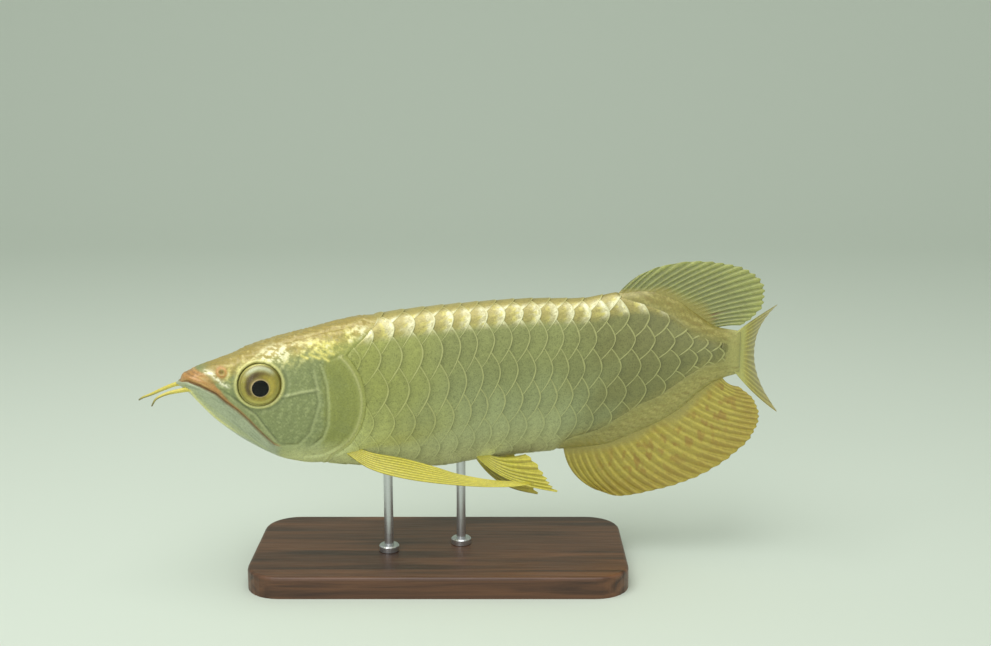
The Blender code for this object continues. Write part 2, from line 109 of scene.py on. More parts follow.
def curve(points: Table, u: Points | float) -> Points:
    """The smooth curve through the points, u running from 0 to 1 by point number.

    Args:
        points: the curve's points.
        u: where to read it.

    Returns:
        Places with one more axis than u.
    """
    knots = np.linspace(0, 1, len(points))
    return np.stack([smooth(list(zip(knots, axis)), u) for axis in zip(*points)], axis=-1)


def ease(low: float, high: float, value: Points) -> Points:
    """A soft step from 0 at low to 1 at high.

    Args:
        low: where the step starts.
        high: where it ends.
        value: what is compared.

    Returns:
        The step's height, 0 to 1.
    """
    t = np.clip((value - low) / (high - low), 0, 1)
    return t * t * (3 - 2 * t)


def bell(distance: Points, width: float) -> Points:
    """A rounded bump of height 1 that fades over the width."""
    return np.exp(-((distance / width) ** 2))


def ripples(points: Points, length: float, seed: int, waves: int = 9) -> Points:
    """Smooth irregular noise between about -1 and 1, made of seeded plane waves.

    Args:
        points: places in millimetres.
        length: the wavelength in millimetres.
        seed: picks the pattern.
        waves: how many waves are summed.

    Returns:
        One value a point.
    """
    draw = np.random.default_rng(seed)
    ways = draw.normal(size=(waves, 3))
    ways /= np.linalg.norm(ways, axis=1, keepdims=True)
    lengths = length * draw.uniform(0.6, 1.6, waves)
    phases = draw.uniform(0, math.tau, waves)
    total = sum(
        np.sin(points @ way * math.tau / size + phase) for way, size, phase in zip(ways, lengths, phases)
    )
    return total / math.sqrt(waves)


def path_distance(along: Points, height: Points, path: Table) -> tuple[Points, Points]:
    """How far side-view places lie from a drawn line.

    Args:
        along: places along the fish.
        height: their heights.
        path: the line's (along, height) points.

    Returns:
        The distance, signed positive above or behind the line's own right side, and the
        share of the line's length at the nearest place.
    """
    line = np.array(path, float)
    here = np.stack([along, height], axis=-1)
    lengths = np.linalg.norm(np.diff(line, axis=0), axis=1)
    walked = np.concatenate([[0], np.cumsum(lengths)])
    nearest = np.full(along.shape, 1e9)
    sign = np.ones(along.shape)
    share = np.zeros(along.shape)
    for start, end, size, done in zip(line[:-1], line[1:], lengths, walked):
        way = (end - start) / size
        reach = np.clip((here - start) @ way, 0, size)
        offset = here - start - reach[..., None] * way
        apart = np.linalg.norm(offset, axis=-1)
        closer = apart < nearest
        turned = way[0] * offset[..., 1] - way[1] * offset[..., 0]
        nearest = np.where(closer, apart, nearest)
        sign = np.where(closer, np.sign(turned) + (turned == 0), sign)
        share = np.where(closer, (done + reach) / walked[-1], share)
    return nearest * sign, share


@dataclass
class FishForm:
    headings: Table = ((-30, 18), (100, 17), (170, 14.5), (230, 9), (280, 1), (330, -7), (400, -12.5))
    balance_point: float = 165.0
    spine_step: float = 0.5
    back: Table = (
        (3, 136.4), (8, 141.5), (20, 146.2), (35, 150.7), (50, 156.4), (76, 162.3), (120, 170.5), (170, 174.3),
        (225, 176.2), (255, 175.6), (283, 179.6), (300, 181.0), (318, 176.0), (334, 165.5), (346, 157.2),
        (362, 154.8),
    )
    belly: Table = (
        (3, 134.8), (8, 130.2), (24, 111.6), (45, 94.2), (68, 81.6), (95, 76.0), (165, 68.5), (195, 71.3),
        (250, 74.3), (272, 76.2), (293, 83.5), (320, 99.5), (346, 121.8), (362, 127.8),
    )
    half_width: Table = (
        (3, 2.2), (5, 5.0), (10, 8.8), (20, 11.7), (40, 14.9), (80, 18.6), (125, 20.2), (180, 20.6),
        (235, 18.8), (285, 13.8), (330, 8.8), (355, 6.0), (362, 3.4),
    )
    widest: Table = (
        (3, 135.7), (20, 135.5), (60, 129.5), (110, 126), (200, 129), (285, 134), (330, 140), (362, 141.4),
    )
    fullness_above: Table = (
        (3, 2.2), (20, 2.6), (60, 2.8), (125, 2.5), (200, 2.3), (262, 2.0), (300, 1.6), (362, 2.4),
    )
    fullness_below: Table = (
        (3, 2.0), (40, 1.7), (95, 1.8), (200, 1.85), (262, 1.7), (310, 1.5), (335, 1.6), (362, 2.4),
    )
    start: float = 3.0
    end: float = 362.0
    turns: int = 240
    stations: Points = field(init=False)
    shell: Points = field(init=False)
    lengths: Points = field(init=False)

    def __post_init__(self) -> None:
        """Walks the spine and tabulates the skin's places, directions and half girths."""
        first, last = self.headings[0][0], self.headings[-1][0]
        self.spine_along = np.arange(first, last + self.spine_step, self.spine_step)
        self.spine_heading = np.radians(smooth(self.headings, self.spine_along))
        self.spine_x = self._track(np.cos(self.spine_heading))
        self.spine_y = self._track(np.sin(self.spine_heading))
        self.stations = np.arange(self.start, self.end + 0.5, 1.0)
        halves = [self._half_section(station) for station in self.stations]
        outline = np.array([half for half, _ in halves])
        self.lengths = np.array([length for _, length in halves])
        side, height = outline[..., 0], outline[..., 1]
        along_change = np.stack(
            [np.ones_like(side), np.gradient(side, axis=0), np.gradient(height, axis=0)], axis=-1
        )
        round_change = np.stack(
            [np.zeros_like(side), np.gradient(side, axis=1), np.gradient(height, axis=1)], axis=-1
        )
        out = np.cross(round_change, along_change)
        out /= np.linalg.norm(out, axis=-1, keepdims=True) + 1e-12
        out *= np.sign(out[len(out) // 2, self.turns // 2, 1])
        out[:, [0, -1], 1] = 0
        out[..., 0] *= ease(self.start, self.start + 6, self.stations)[:, None] * 0.5
        out /= np.linalg.norm(out, axis=-1, keepdims=True)
        self.shell = np.concatenate([outline, out], axis=-1)

    def _track(self, direction: Points) -> Points:
        """One coordinate of the spine, zero at the balance point."""
        steps = (direction[1:] + direction[:-1]) / 2 * self.spine_step
        track = np.concatenate([[0], np.cumsum(steps)])
        return track - np.interp(self.balance_point, self.spine_along, track)

    def _half_section(self, along: float) -> tuple[Points, float]:
        """The left outline at one place, evenly spaced from back to belly.

        Args:
            along: place on the spine.

        Returns:
            The (side, height) outline and its length.
        """
        back = float(smooth(self.back, along))
        belly = float(smooth(self.belly, along))
        width = float(smooth(self.half_width, along))
        widest = float(smooth(self.widest, along))
        turn = np.linspace(0, math.pi, 721)
        upper = turn < math.pi / 2
        above = float(smooth(self.fullness_above, along))
        below = float(smooth(self.fullness_below, along))
        power = 2 / np.where(upper, above, below)
        reach = np.where(upper, back - widest, widest - belly)
        side = width * np.sin(turn) ** power
        height = widest + np.sign(np.cos(turn)) * reach * np.abs(np.cos(turn)) ** power
        walked = np.concatenate([[0], np.cumsum(np.hypot(np.diff(side), np.diff(height)))])
        even = np.linspace(0, walked[-1], self.turns + 1)
        half = np.stack([np.interp(even, walked, side), np.interp(even, walked, height)], axis=-1)
        half[[0, -1], 0] = 0
        return half, float(walked[-1])

    def world(self, along: Points | float, side: Points | float, height: Points | float) -> Points:
        """Points in metres for places in millimetres."""
        along, side, height = np.broadcast_arrays(
            np.asarray(along, float), np.asarray(side, float), np.asarray(height, float)
        )
        heading = np.interp(along, self.spine_along, self.spine_heading)
        x = np.interp(along, self.spine_along, self.spine_x) + side * np.sin(heading)
        y = np.interp(along, self.spine_along, self.spine_y) - side * np.cos(heading)
        return np.stack([x, y, height], axis=-1) * MM

    def placed(self, places: Points) -> Points:
        """Points in metres for stacked (along, side, height) places."""
        return self.world(*np.moveaxis(places, -1, 0))

    def half_girth(self, along: Points) -> Points:
        """Half the way round the body at these places, in millimetres."""
        return np.interp(along, self.stations, self.lengths)

    def skin(self, along: Points, turn: Points) -> tuple[Points, Points]:
        """Reads the skin.

        Args:
            along: places on the spine.
            turn: turns round the body, any value; whole pairs of turns repeat.

        Returns:
            Places and outward directions, both as (along, side, height).
        """
        turn = (np.asarray(turn, float) + 1) % 2 - 1
        mirror = np.where(turn < 0, -1.0, 1.0)
        row = np.clip(np.asarray(along, float) - self.start, 0, len(self.stations) - 1.001)
        column = np.clip(np.abs(turn) * self.turns, 0, self.turns - 0.001)
        i, j = row.astype(int), column.astype(int)
        a, b = (row - i)[..., None], (column - j)[..., None]
        upper = self.shell[i, j] * (1 - b) + self.shell[i, j + 1] * b
        lower = self.shell[i + 1, j] * (1 - b) + self.shell[i + 1, j + 1] * b
        read = upper * (1 - a) + lower * a
        place = np.stack([np.asarray(along, float) + 0 * mirror, read[..., 0] * mirror, read[..., 1]], axis=-1)
        out = np.stack([read[..., 2], read[..., 3] * mirror, read[..., 4]], axis=-1)
        return place, out / np.linalg.norm(out, axis=-1, keepdims=True)

    def turn_at(self, along: Points, height: Points) -> Points:
        """The left flank's turn at these heights."""
        flat_along, flat_height = np.broadcast_arrays(np.asarray(along, float), np.asarray(height, float))
        found = [
            np.interp(-level, -self.shell[min(int(place - self.start), len(self.shell) - 1), :, 1],
                      np.linspace(0, 1, self.turns + 1))
            for place, level in zip(flat_along.ravel(), flat_height.ravel())
        ]
        return np.array(found).reshape(flat_along.shape)


def tone(red: int, green: int, blue: int) -> Points:
    """A linear colour from the 0-255 values that a screen shows."""
    share = np.array([red, green, blue], float) / 255
    return np.where(share <= 0.04045, share / 12.92, ((share + 0.055) / 1.055) ** 2.4)


@dataclass(frozen=True)
class Palette:
    """The fish's markings, shared by its skin, scales and fins, with painted highlight colours and a belly
    lightened by painted light among them.
    """

    flank: Points = field(default_factory=lambda: tone(146, 151, 92))
    flank_grey: Points = field(default_factory=lambda: tone(152, 160, 110))
    flank_rear: Points = field(default_factory=lambda: tone(132, 132, 78))
    shoulder: Points = field(default_factory=lambda: tone(166, 170, 86))
    # belly: the real pale belly colour, made lighter still as painted light that lifts the underside's shade
    belly: Points = field(default_factory=lambda: tone(232, 236, 172))
    back: Points = field(default_factory=lambda: tone(174, 160, 90))
    # painted highlight: the white-gold that the overhead light gives the uppermost scales
    bright_scale: Points = field(default_factory=lambda: tone(250, 247, 206))
    rim: Points = field(default_factory=lambda: tone(188, 188, 124))
    crown: Points = field(default_factory=lambda: tone(164, 144, 72))
    gold: Points = field(default_factory=lambda: tone(232, 222, 124))
    # painted highlight colour: the white-gold glints on the crown, above the eye, at the nape and on the nose
    pale_gold: Points = field(default_factory=lambda: tone(252, 249, 212))
    gill: Points = field(default_factory=lambda: tone(148, 153, 78))
    gill_dark: Points = field(default_factory=lambda: tone(130, 137, 66))
    cheek: Points = field(default_factory=lambda: tone(138, 147, 94))
    fleck: Points = field(default_factory=lambda: tone(188, 194, 138))
    dusk: Points = field(default_factory=lambda: tone(104, 112, 72))
    jaw: Points = field(default_factory=lambda: tone(172, 180, 146))
    jaw_dusk: Points = field(default_factory=lambda: tone(140, 150, 122))
    jaw_line: Points = field(default_factory=lambda: tone(226, 222, 144))
    lip: Points = field(default_factory=lambda: tone(192, 132, 68))
    lip_pale: Points = field(default_factory=lambda: tone(216, 190, 122))
    slit: Points = field(default_factory=lambda: tone(126, 80, 44))
    orbit: Points = field(default_factory=lambda: tone(158, 150, 76))
    fleshy: Points = field(default_factory=lambda: tone(142, 134, 66))
    fleshy_low: Points = field(default_factory=lambda: tone(164, 156, 84))
    freckle: Points = field(default_factory=lambda: tone(188, 176, 106))
    freckle_dark: Points = field(default_factory=lambda: tone(128, 108, 50))
    tail_root: Points = field(default_factory=lambda: tone(168, 164, 96))
    fin_spot: Points = field(default_factory=lambda: tone(118, 66, 30))


PALETTE = Palette()


def blend(low: Points, high: Points, share: Points) -> Points:
    """A colour array between two colours or colour arrays, by a share from 0 to 1."""
    return low + (high - low) * np.clip(share, 0, 1)[..., None]


@dataclass
class Markings:
    """Where the fish is bare, scaled or fleshy, and its colours there."""

    form: FishForm
    gill_centre: tuple[float, float] = (76.0, 119.0)
    gill_reach: tuple[float, float] = (36.0, 40.0)
    nape: Table = ((149.0, 100.5), (152, 103), (156, 107.5), (160, 113), (164, 117.5), (168, 122), (186, 126))
    throat: Table = ((60.0, 86.0), (76, 90.5), (84, 93.5))
    upper_limit: Table = (
        (276.0, 190.0), (284, 179.5), (297.5, 174.6), (308.6, 170.8), (318, 166.0), (329, 158.5), (345, 152.0),
        (362, 150.0),
    )
    lower_limit: Table = (
        (236.0, 60.0), (246, 78.0), (255, 82.5), (264, 84.5), (276.5, 89.8), (292, 99.5), (310, 108.5),
        (328, 122.0), (339, 128.7), (362, 134.0),
    )
    rear_limit: float = 358.0
    scale_depth: float = 1.15
    tail_squeeze: float = 0.48
    squeeze_zone: tuple[float, float] = (345.0, 358.0)

    def narrowed(self, along: Points) -> Points:
        """The share of its width that the body keeps, less where it narrows to the tail fin."""
        return 1 - self.tail_squeeze * ease(*self.squeeze_zone, along)

    def behind_gill(self, along: Points, height: Points) -> Points:
        """Distance behind the head's rear edge in millimetres, negative on the head."""
        centre_along, centre_height = self.gill_centre
        reach_along, reach_height = self.gill_reach
        ring = np.hypot((along - centre_along) / reach_along, (height - centre_height) / reach_height)
        gill = (ring - 1) * 0.5 * (reach_along + reach_height)
        gill = np.where(along < centre_along, -20.0, gill)
        upper = along - smooth(self.nape, height)
        lower = along - smooth(self.throat, height)
        return np.where(height > self.nape[0][0], upper, np.where(height < self.throat[-1][0], lower, gill))

    def scaled(self, along: Points, height: Points) -> Points:
        """1 where scales cover the skin, 0 on the head, fin bands and tail root."""
        edge = self.behind_gill(along, height)
        head = np.where(height > 151, ease(-1.0, 5.0, edge), ease(1.2, 2.4, edge))
        above = ease(-1.0, 6.0, smooth(self.upper_limit, along) - height)
        below = ease(-1.0, 7.0, height - smooth(self.lower_limit, along))
        return head * above * below * ease(0.0, 8.0, self.rear_limit - along)

    def ray_roots(self, place: Points) -> Points:
        """Ridges of the lower fin's rays where they run up into the body, 0 to 1."""
        along, height = place[..., 0], place[..., 2]
        drop = height - smooth(self.form.belly, along)
        base = [knot[0] for knot in AnalShape.base]
        number = ANAL_RAYS * np.interp(along + 0.6 * drop, base, np.linspace(0, 1, len(base)))
        zone = ease(-1.0, 5.0, smooth(self.lower_limit, along) - height) * ease(246, 256, along)
        return (0.5 + 0.5 * np.cos(math.tau * number)) * zone * ease(354, 346, along)

    def colour(self, place: Points, out: Points) -> Points:
        """The markings over skin and scales alike, with the belly painted lighter where the skin faces down:
        partly its real pale colour, partly painted light that lifts the underside's shade.

        Args:
            place: places on the fish.
            out: outward directions there.

        Returns:
            Linear colours.
        """
        along, height = place[..., 0], place[..., 2]
        mottle = ripples(place, 26, 5) * 0.5
        paint = np.broadcast_to(PALETTE.flank, place.shape).copy()
        paint = blend(paint, PALETTE.flank_grey, ease(150, 96, height + 8 * mottle) * ease(130, 190, along))
        paint = blend(paint, PALETTE.flank_rear, ease(230, 300, along + 20 * mottle))
        paint = blend(paint, PALETTE.shoulder, 0.75 * ease(178, 112, along + 14 * mottle))
        # painted light: the belly's real pale colour, lightened further where the skin faces down so the
        # underside's shade is lifted
        paint = blend(paint, PALETTE.belly, 0.85 * ease(0.0, 0.75, -out[..., 2]) * ease(270, 235, along))
        paint = blend(paint, PALETTE.back, ease(0.30, 0.75, out[..., 2]))
        flesh_above = ease(9.0, -4.0, smooth(self.upper_limit, along) - height)
        flesh_below = ease(14.0, -7.0, height - smooth(self.lower_limit, along)) * ease(226, 250, along)
        paint = blend(paint, PALETTE.fleshy_low, 0.9 * flesh_below)
        paint = blend(paint, PALETTE.fleshy, flesh_above)
        paint = blend(paint, PALETTE.tail_root, ease(346, 358, along))
        flesh = np.maximum(flesh_above, flesh_below)
        spots = ripples(place, 3.4, 91) + 0.8 * ripples(place, 1.6, 92)
        paint = blend(paint, PALETTE.freckle_dark, 0.45 * ease(0.3, 1.5, -spots) * flesh)
        return blend(paint, PALETTE.freckle, 0.5 * ease(0.4, 1.3, spots) * flesh)


@dataclass(frozen=True)
class Gloss:
    """A painted, softly glossy finish that takes its colour from the mesh's own paint."""

    name: str
    roughness: float = 0.36
    metallic: float = 0.0
    coat: float = 0.3
    coat_roughness: float = 0.2
    specular: float = 0.5
    mottle: float = 0.12
    mottle_size: float = 900.0
    speckle: float = 0.0
    bump: float = 0.25
    bump_size: float = 1500.0
    subsurface: float = 0.0
    alpha_low: float = 1.0
    ray_joints: float = 0.0

    def material(self) -> bpy.types.Material:
        """Builds the finish's nodes.

        Returns:
            The material.
        """
        made = bpy.data.materials.new(self.name)
        made.use_nodes = True
        nodes, links = made.node_tree.nodes, made.node_tree.links
        shader = nodes["Principled BSDF"]
        shader.inputs["Metallic"].default_value = self.metallic
        shader.inputs["Coat Weight"].default_value = self.coat
        shader.inputs["Coat Roughness"].default_value = self.coat_roughness
        shader.inputs["Specular IOR Level"].default_value = self.specular
        shader.inputs["Subsurface Weight"].default_value = self.subsurface
        shader.inputs["Subsurface Scale"].default_value = 0.002
        shader.inputs["Subsurface Radius"].default_value = (1.0, 0.8, 0.3)
        paint = nodes.new("ShaderNodeAttribute")
        paint.attribute_name = "paint"
        place = nodes.new("ShaderNodeTexCoord")
        cloud = nodes.new("ShaderNodeTexNoise")
        cloud.inputs["Scale"].default_value = self.mottle_size
        cloud.inputs["Detail"].default_value = 5.0
        links.new(place.outputs["Object"], cloud.inputs["Vector"])
        vary = nodes.new("ShaderNodeMapRange")
        vary.inputs["From Min"].default_value = 0.3
        vary.inputs["From Max"].default_value = 0.7
        vary.inputs["To Min"].default_value = 1 - self.mottle
        vary.inputs["To Max"].default_value = 1 + self.mottle
        links.new(cloud.outputs["Fac"], vary.inputs["Value"])
        toned = nodes.new("ShaderNodeVectorMath")
        toned.operation = "SCALE"
        links.new(paint.outputs["Color"], toned.inputs[0])
        links.new(vary.outputs["Result"], toned.inputs["Scale"])
        colour = toned.outputs["Vector"]
        if self.speckle:
            colour = self._speckled(nodes, links, place, colour)
        links.new(colour, shader.inputs["Base Color"])
        rough = nodes.new("ShaderNodeMapRange")
        rough.inputs["To Min"].default_value = self.roughness - 0.08
        rough.inputs["To Max"].default_value = self.roughness + 0.12
        links.new(cloud.outputs["Fac"], rough.inputs["Value"])
        links.new(rough.outputs["Result"], shader.inputs["Roughness"])
        self._bumped(nodes, links, place, shader)
        if self.alpha_low < 1:
            self._thinned(nodes, links, shader)
        return made

    def _speckled(
        self, nodes: bpy.types.Nodes, links: bpy.types.NodeLinks, place: bpy.types.Node,
        colour: bpy.types.NodeSocket,
    ) -> bpy.types.NodeSocket:
        """Strews fine dark pigment dots over the colour.

        Args:
            nodes: the material's nodes.
            links: its links.
            place: the node that gives places on the object.
            colour: the colour so far.

        Returns:
            The new colour.
        """
        dots = nodes.new("ShaderNodeTexNoise")
        dots.inputs["Scale"].default_value = 1150.0
        dots.inputs["Detail"].default_value = 3.0
        links.new(place.outputs["Object"], dots.inputs["Vector"])
        pick = nodes.new("ShaderNodeMapRange")
        pick.inputs["From Min"].default_value = 0.50
        pick.inputs["From Max"].default_value = 0.66
        pick.inputs["To Min"].default_value = 1.0
        pick.inputs["To Max"].default_value = 1.0 - self.speckle
        links.new(dots.outputs["Fac"], pick.inputs["Value"])
        darker = nodes.new("ShaderNodeVectorMath")
        darker.operation = "SCALE"
        links.new(colour, darker.inputs[0])
        links.new(pick.outputs["Result"], darker.inputs["Scale"])
        return darker.outputs["Vector"]

    def _bumped(
        self, nodes: bpy.types.Nodes, links: bpy.types.NodeLinks, place: bpy.types.Node, shader: bpy.types.Node
    ) -> None:
        """Adds the fine grain, and on fins the joints across each ray.

        Args:
            nodes: the material's nodes.
            links: its links.
            place: the node that gives places on the object.
            shader: the node that takes the bump.
        """
        grain = nodes.new("ShaderNodeTexNoise")
        grain.inputs["Scale"].default_value = self.bump_size
        grain.inputs["Detail"].default_value = 4.0
        links.new(place.outputs["Object"], grain.inputs["Vector"])
        height = grain.outputs["Fac"]
        if self.ray_joints:
            reach = nodes.new("ShaderNodeAttribute")
            reach.attribute_name = "reach"
            wave = nodes.new("ShaderNodeMath")
            wave.operation = "SINE"
            pace = nodes.new("ShaderNodeMath")
            pace.operation = "MULTIPLY"
            pace.inputs[1].default_value = math.tau / self.ray_joints
            links.new(reach.outputs["Fac"], pace.inputs[0])
            links.new(pace.outputs["Value"], wave.inputs[0])
            both = nodes.new("ShaderNodeMath")
            both.operation = "MULTIPLY_ADD"
            both.inputs[1].default_value = 0.35
            links.new(wave.outputs["Value"], both.inputs[0])
            links.new(height, both.inputs[2])
            height = both.outputs["Value"]
        bump = nodes.new("ShaderNodeBump")
        bump.inputs["Strength"].default_value = self.bump
        bump.inputs["Distance"].default_value = 0.0004
        links.new(height, bump.inputs["Height"])
        links.new(bump.outputs["Normal"], shader.inputs["Normal"])

    def _thinned(self, nodes: bpy.types.Nodes, links: bpy.types.NodeLinks, shader: bpy.types.Node) -> None:
        """Makes the membrane between rays let light through."""
        ray = nodes.new("ShaderNodeAttribute")
        ray.attribute_name = "ray"
        thin = nodes.new("ShaderNodeMapRange")
        thin.inputs["To Min"].default_value = self.alpha_low
        thin.inputs["To Max"].default_value = 1.0
        links.new(ray.outputs["Fac"], thin.inputs["Value"])
        links.new(thin.outputs["Result"], shader.inputs["Alpha"])


@dataclass(frozen=True)
class Cornea:
    """A clear, wet, glossy film."""

    name: str = "clear_cornea"
    ior: float = 1.38
    roughness: float = 0.03

    def material(self) -> bpy.types.Material:
        """Builds a film that is see-through face on and shiny at a slant.

        Returns:
            The material.
        """
        made = bpy.data.materials.new(self.name)
        made.use_nodes = True
        nodes, links = made.node_tree.nodes, made.node_tree.links
        nodes.remove(nodes["Principled BSDF"])
        clear = nodes.new("ShaderNodeBsdfTransparent")
        shine = nodes.new("ShaderNodeBsdfGlossy")
        shine.inputs["Roughness"].default_value = self.roughness
        edge = nodes.new("ShaderNodeFresnel")
        edge.inputs["IOR"].default_value = self.ior
        mixed = nodes.new("ShaderNodeMixShader")
        links.new(edge.outputs["Fac"], mixed.inputs["Fac"])
        links.new(clear.outputs["BSDF"], mixed.inputs[1])
        links.new(shine.outputs["BSDF"], mixed.inputs[2])
        links.new(mixed.outputs["Shader"], nodes["Material Output"].inputs["Surface"])
        return made


@dataclass(frozen=True)
class OiledWood:
    """Dark oiled wood with its grain along the base."""

    name: str = "dark_oiled_wood"
    dark: tuple[int, int, int] = (58, 36, 24)
    light: tuple[int, int, int] = (112, 74, 48)

    def material(self) -> bpy.types.Material:
        """Builds stretched grain with fine open pores.

        Returns:
            The material.
        """
        made = bpy.data.materials.new(self.name)
        made.use_nodes = True
        nodes, links = made.node_tree.nodes, made.node_tree.links
        shader = nodes["Principled BSDF"]
        place = nodes.new("ShaderNodeTexCoord")
        stretch = nodes.new("ShaderNodeMapping")
        stretch.inputs["Scale"].default_value = (5.0, 90.0, 90.0)
        links.new(place.outputs["Object"], stretch.inputs["Vector"])
        grain = nodes.new("ShaderNodeTexNoise")
        grain.inputs["Scale"].default_value = 1.6
        grain.inputs["Detail"].default_value = 8.0
        grain.inputs["Distortion"].default_value = 0.7
        links.new(stretch.outputs["Vector"], grain.inputs["Vector"])
        pores = nodes.new("ShaderNodeTexNoise")
        pores.inputs["Scale"].default_value = 14.0
        pores.inputs["Detail"].default_value = 3.0
        links.new(stretch.outputs["Vector"], pores.inputs["Vector"])
        ramp = nodes.new("ShaderNodeValToRGB")
        ramp.color_ramp.elements[0].position = 0.34
        ramp.color_ramp.elements[0].color = (*tone(*self.dark), 1)
        ramp.color_ramp.elements[1].position = 0.68
        ramp.color_ramp.elements[1].color = (*tone(*self.light), 1)
        links.new(grain.outputs["Fac"], ramp.inputs["Fac"])
        links.new(ramp.outputs["Color"], shader.inputs["Base Color"])
        rough = nodes.new("ShaderNodeMapRange")
        rough.inputs["To Min"].default_value = 0.28
        rough.inputs["To Max"].default_value = 0.52
        links.new(pores.outputs["Fac"], rough.inputs["Value"])
        links.new(rough.outputs["Result"], shader.inputs["Roughness"])
        bump = nodes.new("ShaderNodeBump")
        bump.inputs["Strength"].default_value = 0.25
        bump.inputs["Distance"].default_value = 0.0005
        links.new(pores.outputs["Fac"], bump.inputs["Height"])
        links.new(bump.outputs["Normal"], shader.inputs["Normal"])
        return made


@dataclass(frozen=True)
class BrushedSteel:
    """Steel rod with fine turned lines round it."""

    name: str = "brushed_rod_steel"
    roughness: float = 0.3

    def material(self) -> bpy.types.Material:
        """Builds metal with fine level scratches.

        Returns:
            The material.
        """
        made = bpy.data.materials.new(self.name)
        made.use_nodes = True
        nodes, links = made.node_tree.nodes, made.node_tree.links
        shader = nodes["Principled BSDF"]
        shader.inputs["Metallic"].default_value = 1.0
        shader.inputs["Base Color"].default_value = (0.58, 0.59, 0.60, 1)
        place = nodes.new("ShaderNodeTexCoord")
        stretch = nodes.new("ShaderNodeMapping")
        stretch.inputs["Scale"].default_value = (60.0, 60.0, 6000.0)
        links.new(place.outputs["Object"], stretch.inputs["Vector"])
        lines = nodes.new("ShaderNodeTexNoise")
        lines.inputs["Scale"].default_value = 1.0
        links.new(stretch.outputs["Vector"], lines.inputs["Vector"])
        rough = nodes.new("ShaderNodeMapRange")
        rough.inputs["To Min"].default_value = self.roughness - 0.1
        rough.inputs["To Max"].default_value = self.roughness + 0.12
        links.new(lines.outputs["Fac"], rough.inputs["Value"])
        links.new(rough.outputs["Result"], shader.inputs["Roughness"])
        return made


def grid_quads(rows: int, columns: int, wrap: bool = False) -> Points:
    """Corner numbers of the quads over a grid of points.

    Args:
        rows: points down.
        columns: points across.
        wrap: joins the last column to the first.

    Returns:
        One row of four corners a quad.
    """
    i, j = np.meshgrid(np.arange(rows - 1), np.arange(columns if wrap else columns - 1), indexing="ij")
    after = (j + 1) % columns
    corners = [i * columns + j, i * columns + after, (i + 1) * columns + after, (i + 1) * columns + j]
    return np.stack([corner.ravel() for corner in corners], axis=-1)


def solid_quads(rows: int, columns: int) -> Points:
    """Quads that close a front grid and a back grid, stored one after the other, into one solid."""
    front = grid_quads(rows, columns)
    size = rows * columns
    back = front[:, ::-1] + size
    numbers = np.arange(size).reshape(rows, columns)
    edge = np.concatenate([numbers[0, :-1], numbers[:-1, -1], numbers[-1, :0:-1], numbers[:0:-1, 0]])
    ahead = np.roll(edge, -1)
    rim = np.stack([ahead, edge, edge + size, ahead + size], axis=-1)
    return np.concatenate([front, back, rim])


@dataclass
class Piece:
    """One visible piece: its points, faces and per-point values."""

    name: str
    slot: str
    points: Points
    quads: Points
    paint: Points
    values: dict[str, Points] = field(default_factory=dict)
    bake_map: Points | None = None
    caps: list[list[int]] = field(default_factory=list)

    def build(self, material: bpy.types.Material, replaced: Sequence[str] = ()) -> bpy.types.Object:
        """Makes the object, dresses it and hangs it on the model.

        Args:
            material: the finish.
            replaced: the solids that the piece stands for.

        Returns:
            The object.
        """
        mesh = bpy.data.meshes.new(self.name)
        mesh.from_pydata(self.points.reshape(-1, 3).tolist(), [], self.quads.tolist() + self.caps)
        build = bmesh.new()
        build.from_mesh(mesh)
        bmesh.ops.recalc_face_normals(build, faces=build.faces)
        build.to_mesh(mesh)
        build.free()
        mesh.shade_smooth()
        paint = mesh.attributes.new("paint", "FLOAT_COLOR", "POINT")
        opaque = np.ones((len(mesh.vertices), 4), np.float32)
        opaque[:, :3] = self.paint.reshape(-1, 3)
        paint.data.foreach_set("color", opaque.ravel())
        for name, value in self.values.items():
            made = mesh.attributes.new(name, "FLOAT", "POINT")
            made.data.foreach_set("value", value.astype(np.float32).ravel())
        if self.bake_map is not None:
            corner = np.empty(len(mesh.loops), np.int32)
            mesh.loops.foreach_get("vertex_index", corner)
            layer = mesh.uv_layers.new(name="OFBake")
            layer.data.foreach_set("uv", self.bake_map.reshape(-1, 2)[corner].astype(np.float32).ravel())
        mesh.materials.append(material)
        made = bpy.data.objects.new(self.name, mesh)
        bpy.context.scene.collection.objects.link(made)
        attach(made, "root")
        if replaced:
            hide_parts(*replaced)
        triangles = sum(len(face.vertices) - 2 for face in mesh.polygons)
        log.info("%s: %d triangles", self.name, triangles)
        return made


def tube(name: str, slot: str, points: Points, paint: Points, bake_map: Points | None = None) -> Piece:
    """A closed tube through rings of points, with one face over each end.

    Args:
        name: the piece's name.
        slot: the name of its material slot, kept on the piece and not used otherwise.
        points: the rings, in metres, one after the other.
        paint: the points' colours.
        bake_map: their places on the bake map.

    Returns:
        The piece.
    """
    rows, count = points.shape[:2]
    caps = [list(range(count)), list(range((rows - 1) * count, rows * count))]
    quads = grid_quads(rows, count, wrap=True)
    return Piece(name, slot, points, quads, paint, bake_map=bake_map, caps=caps)


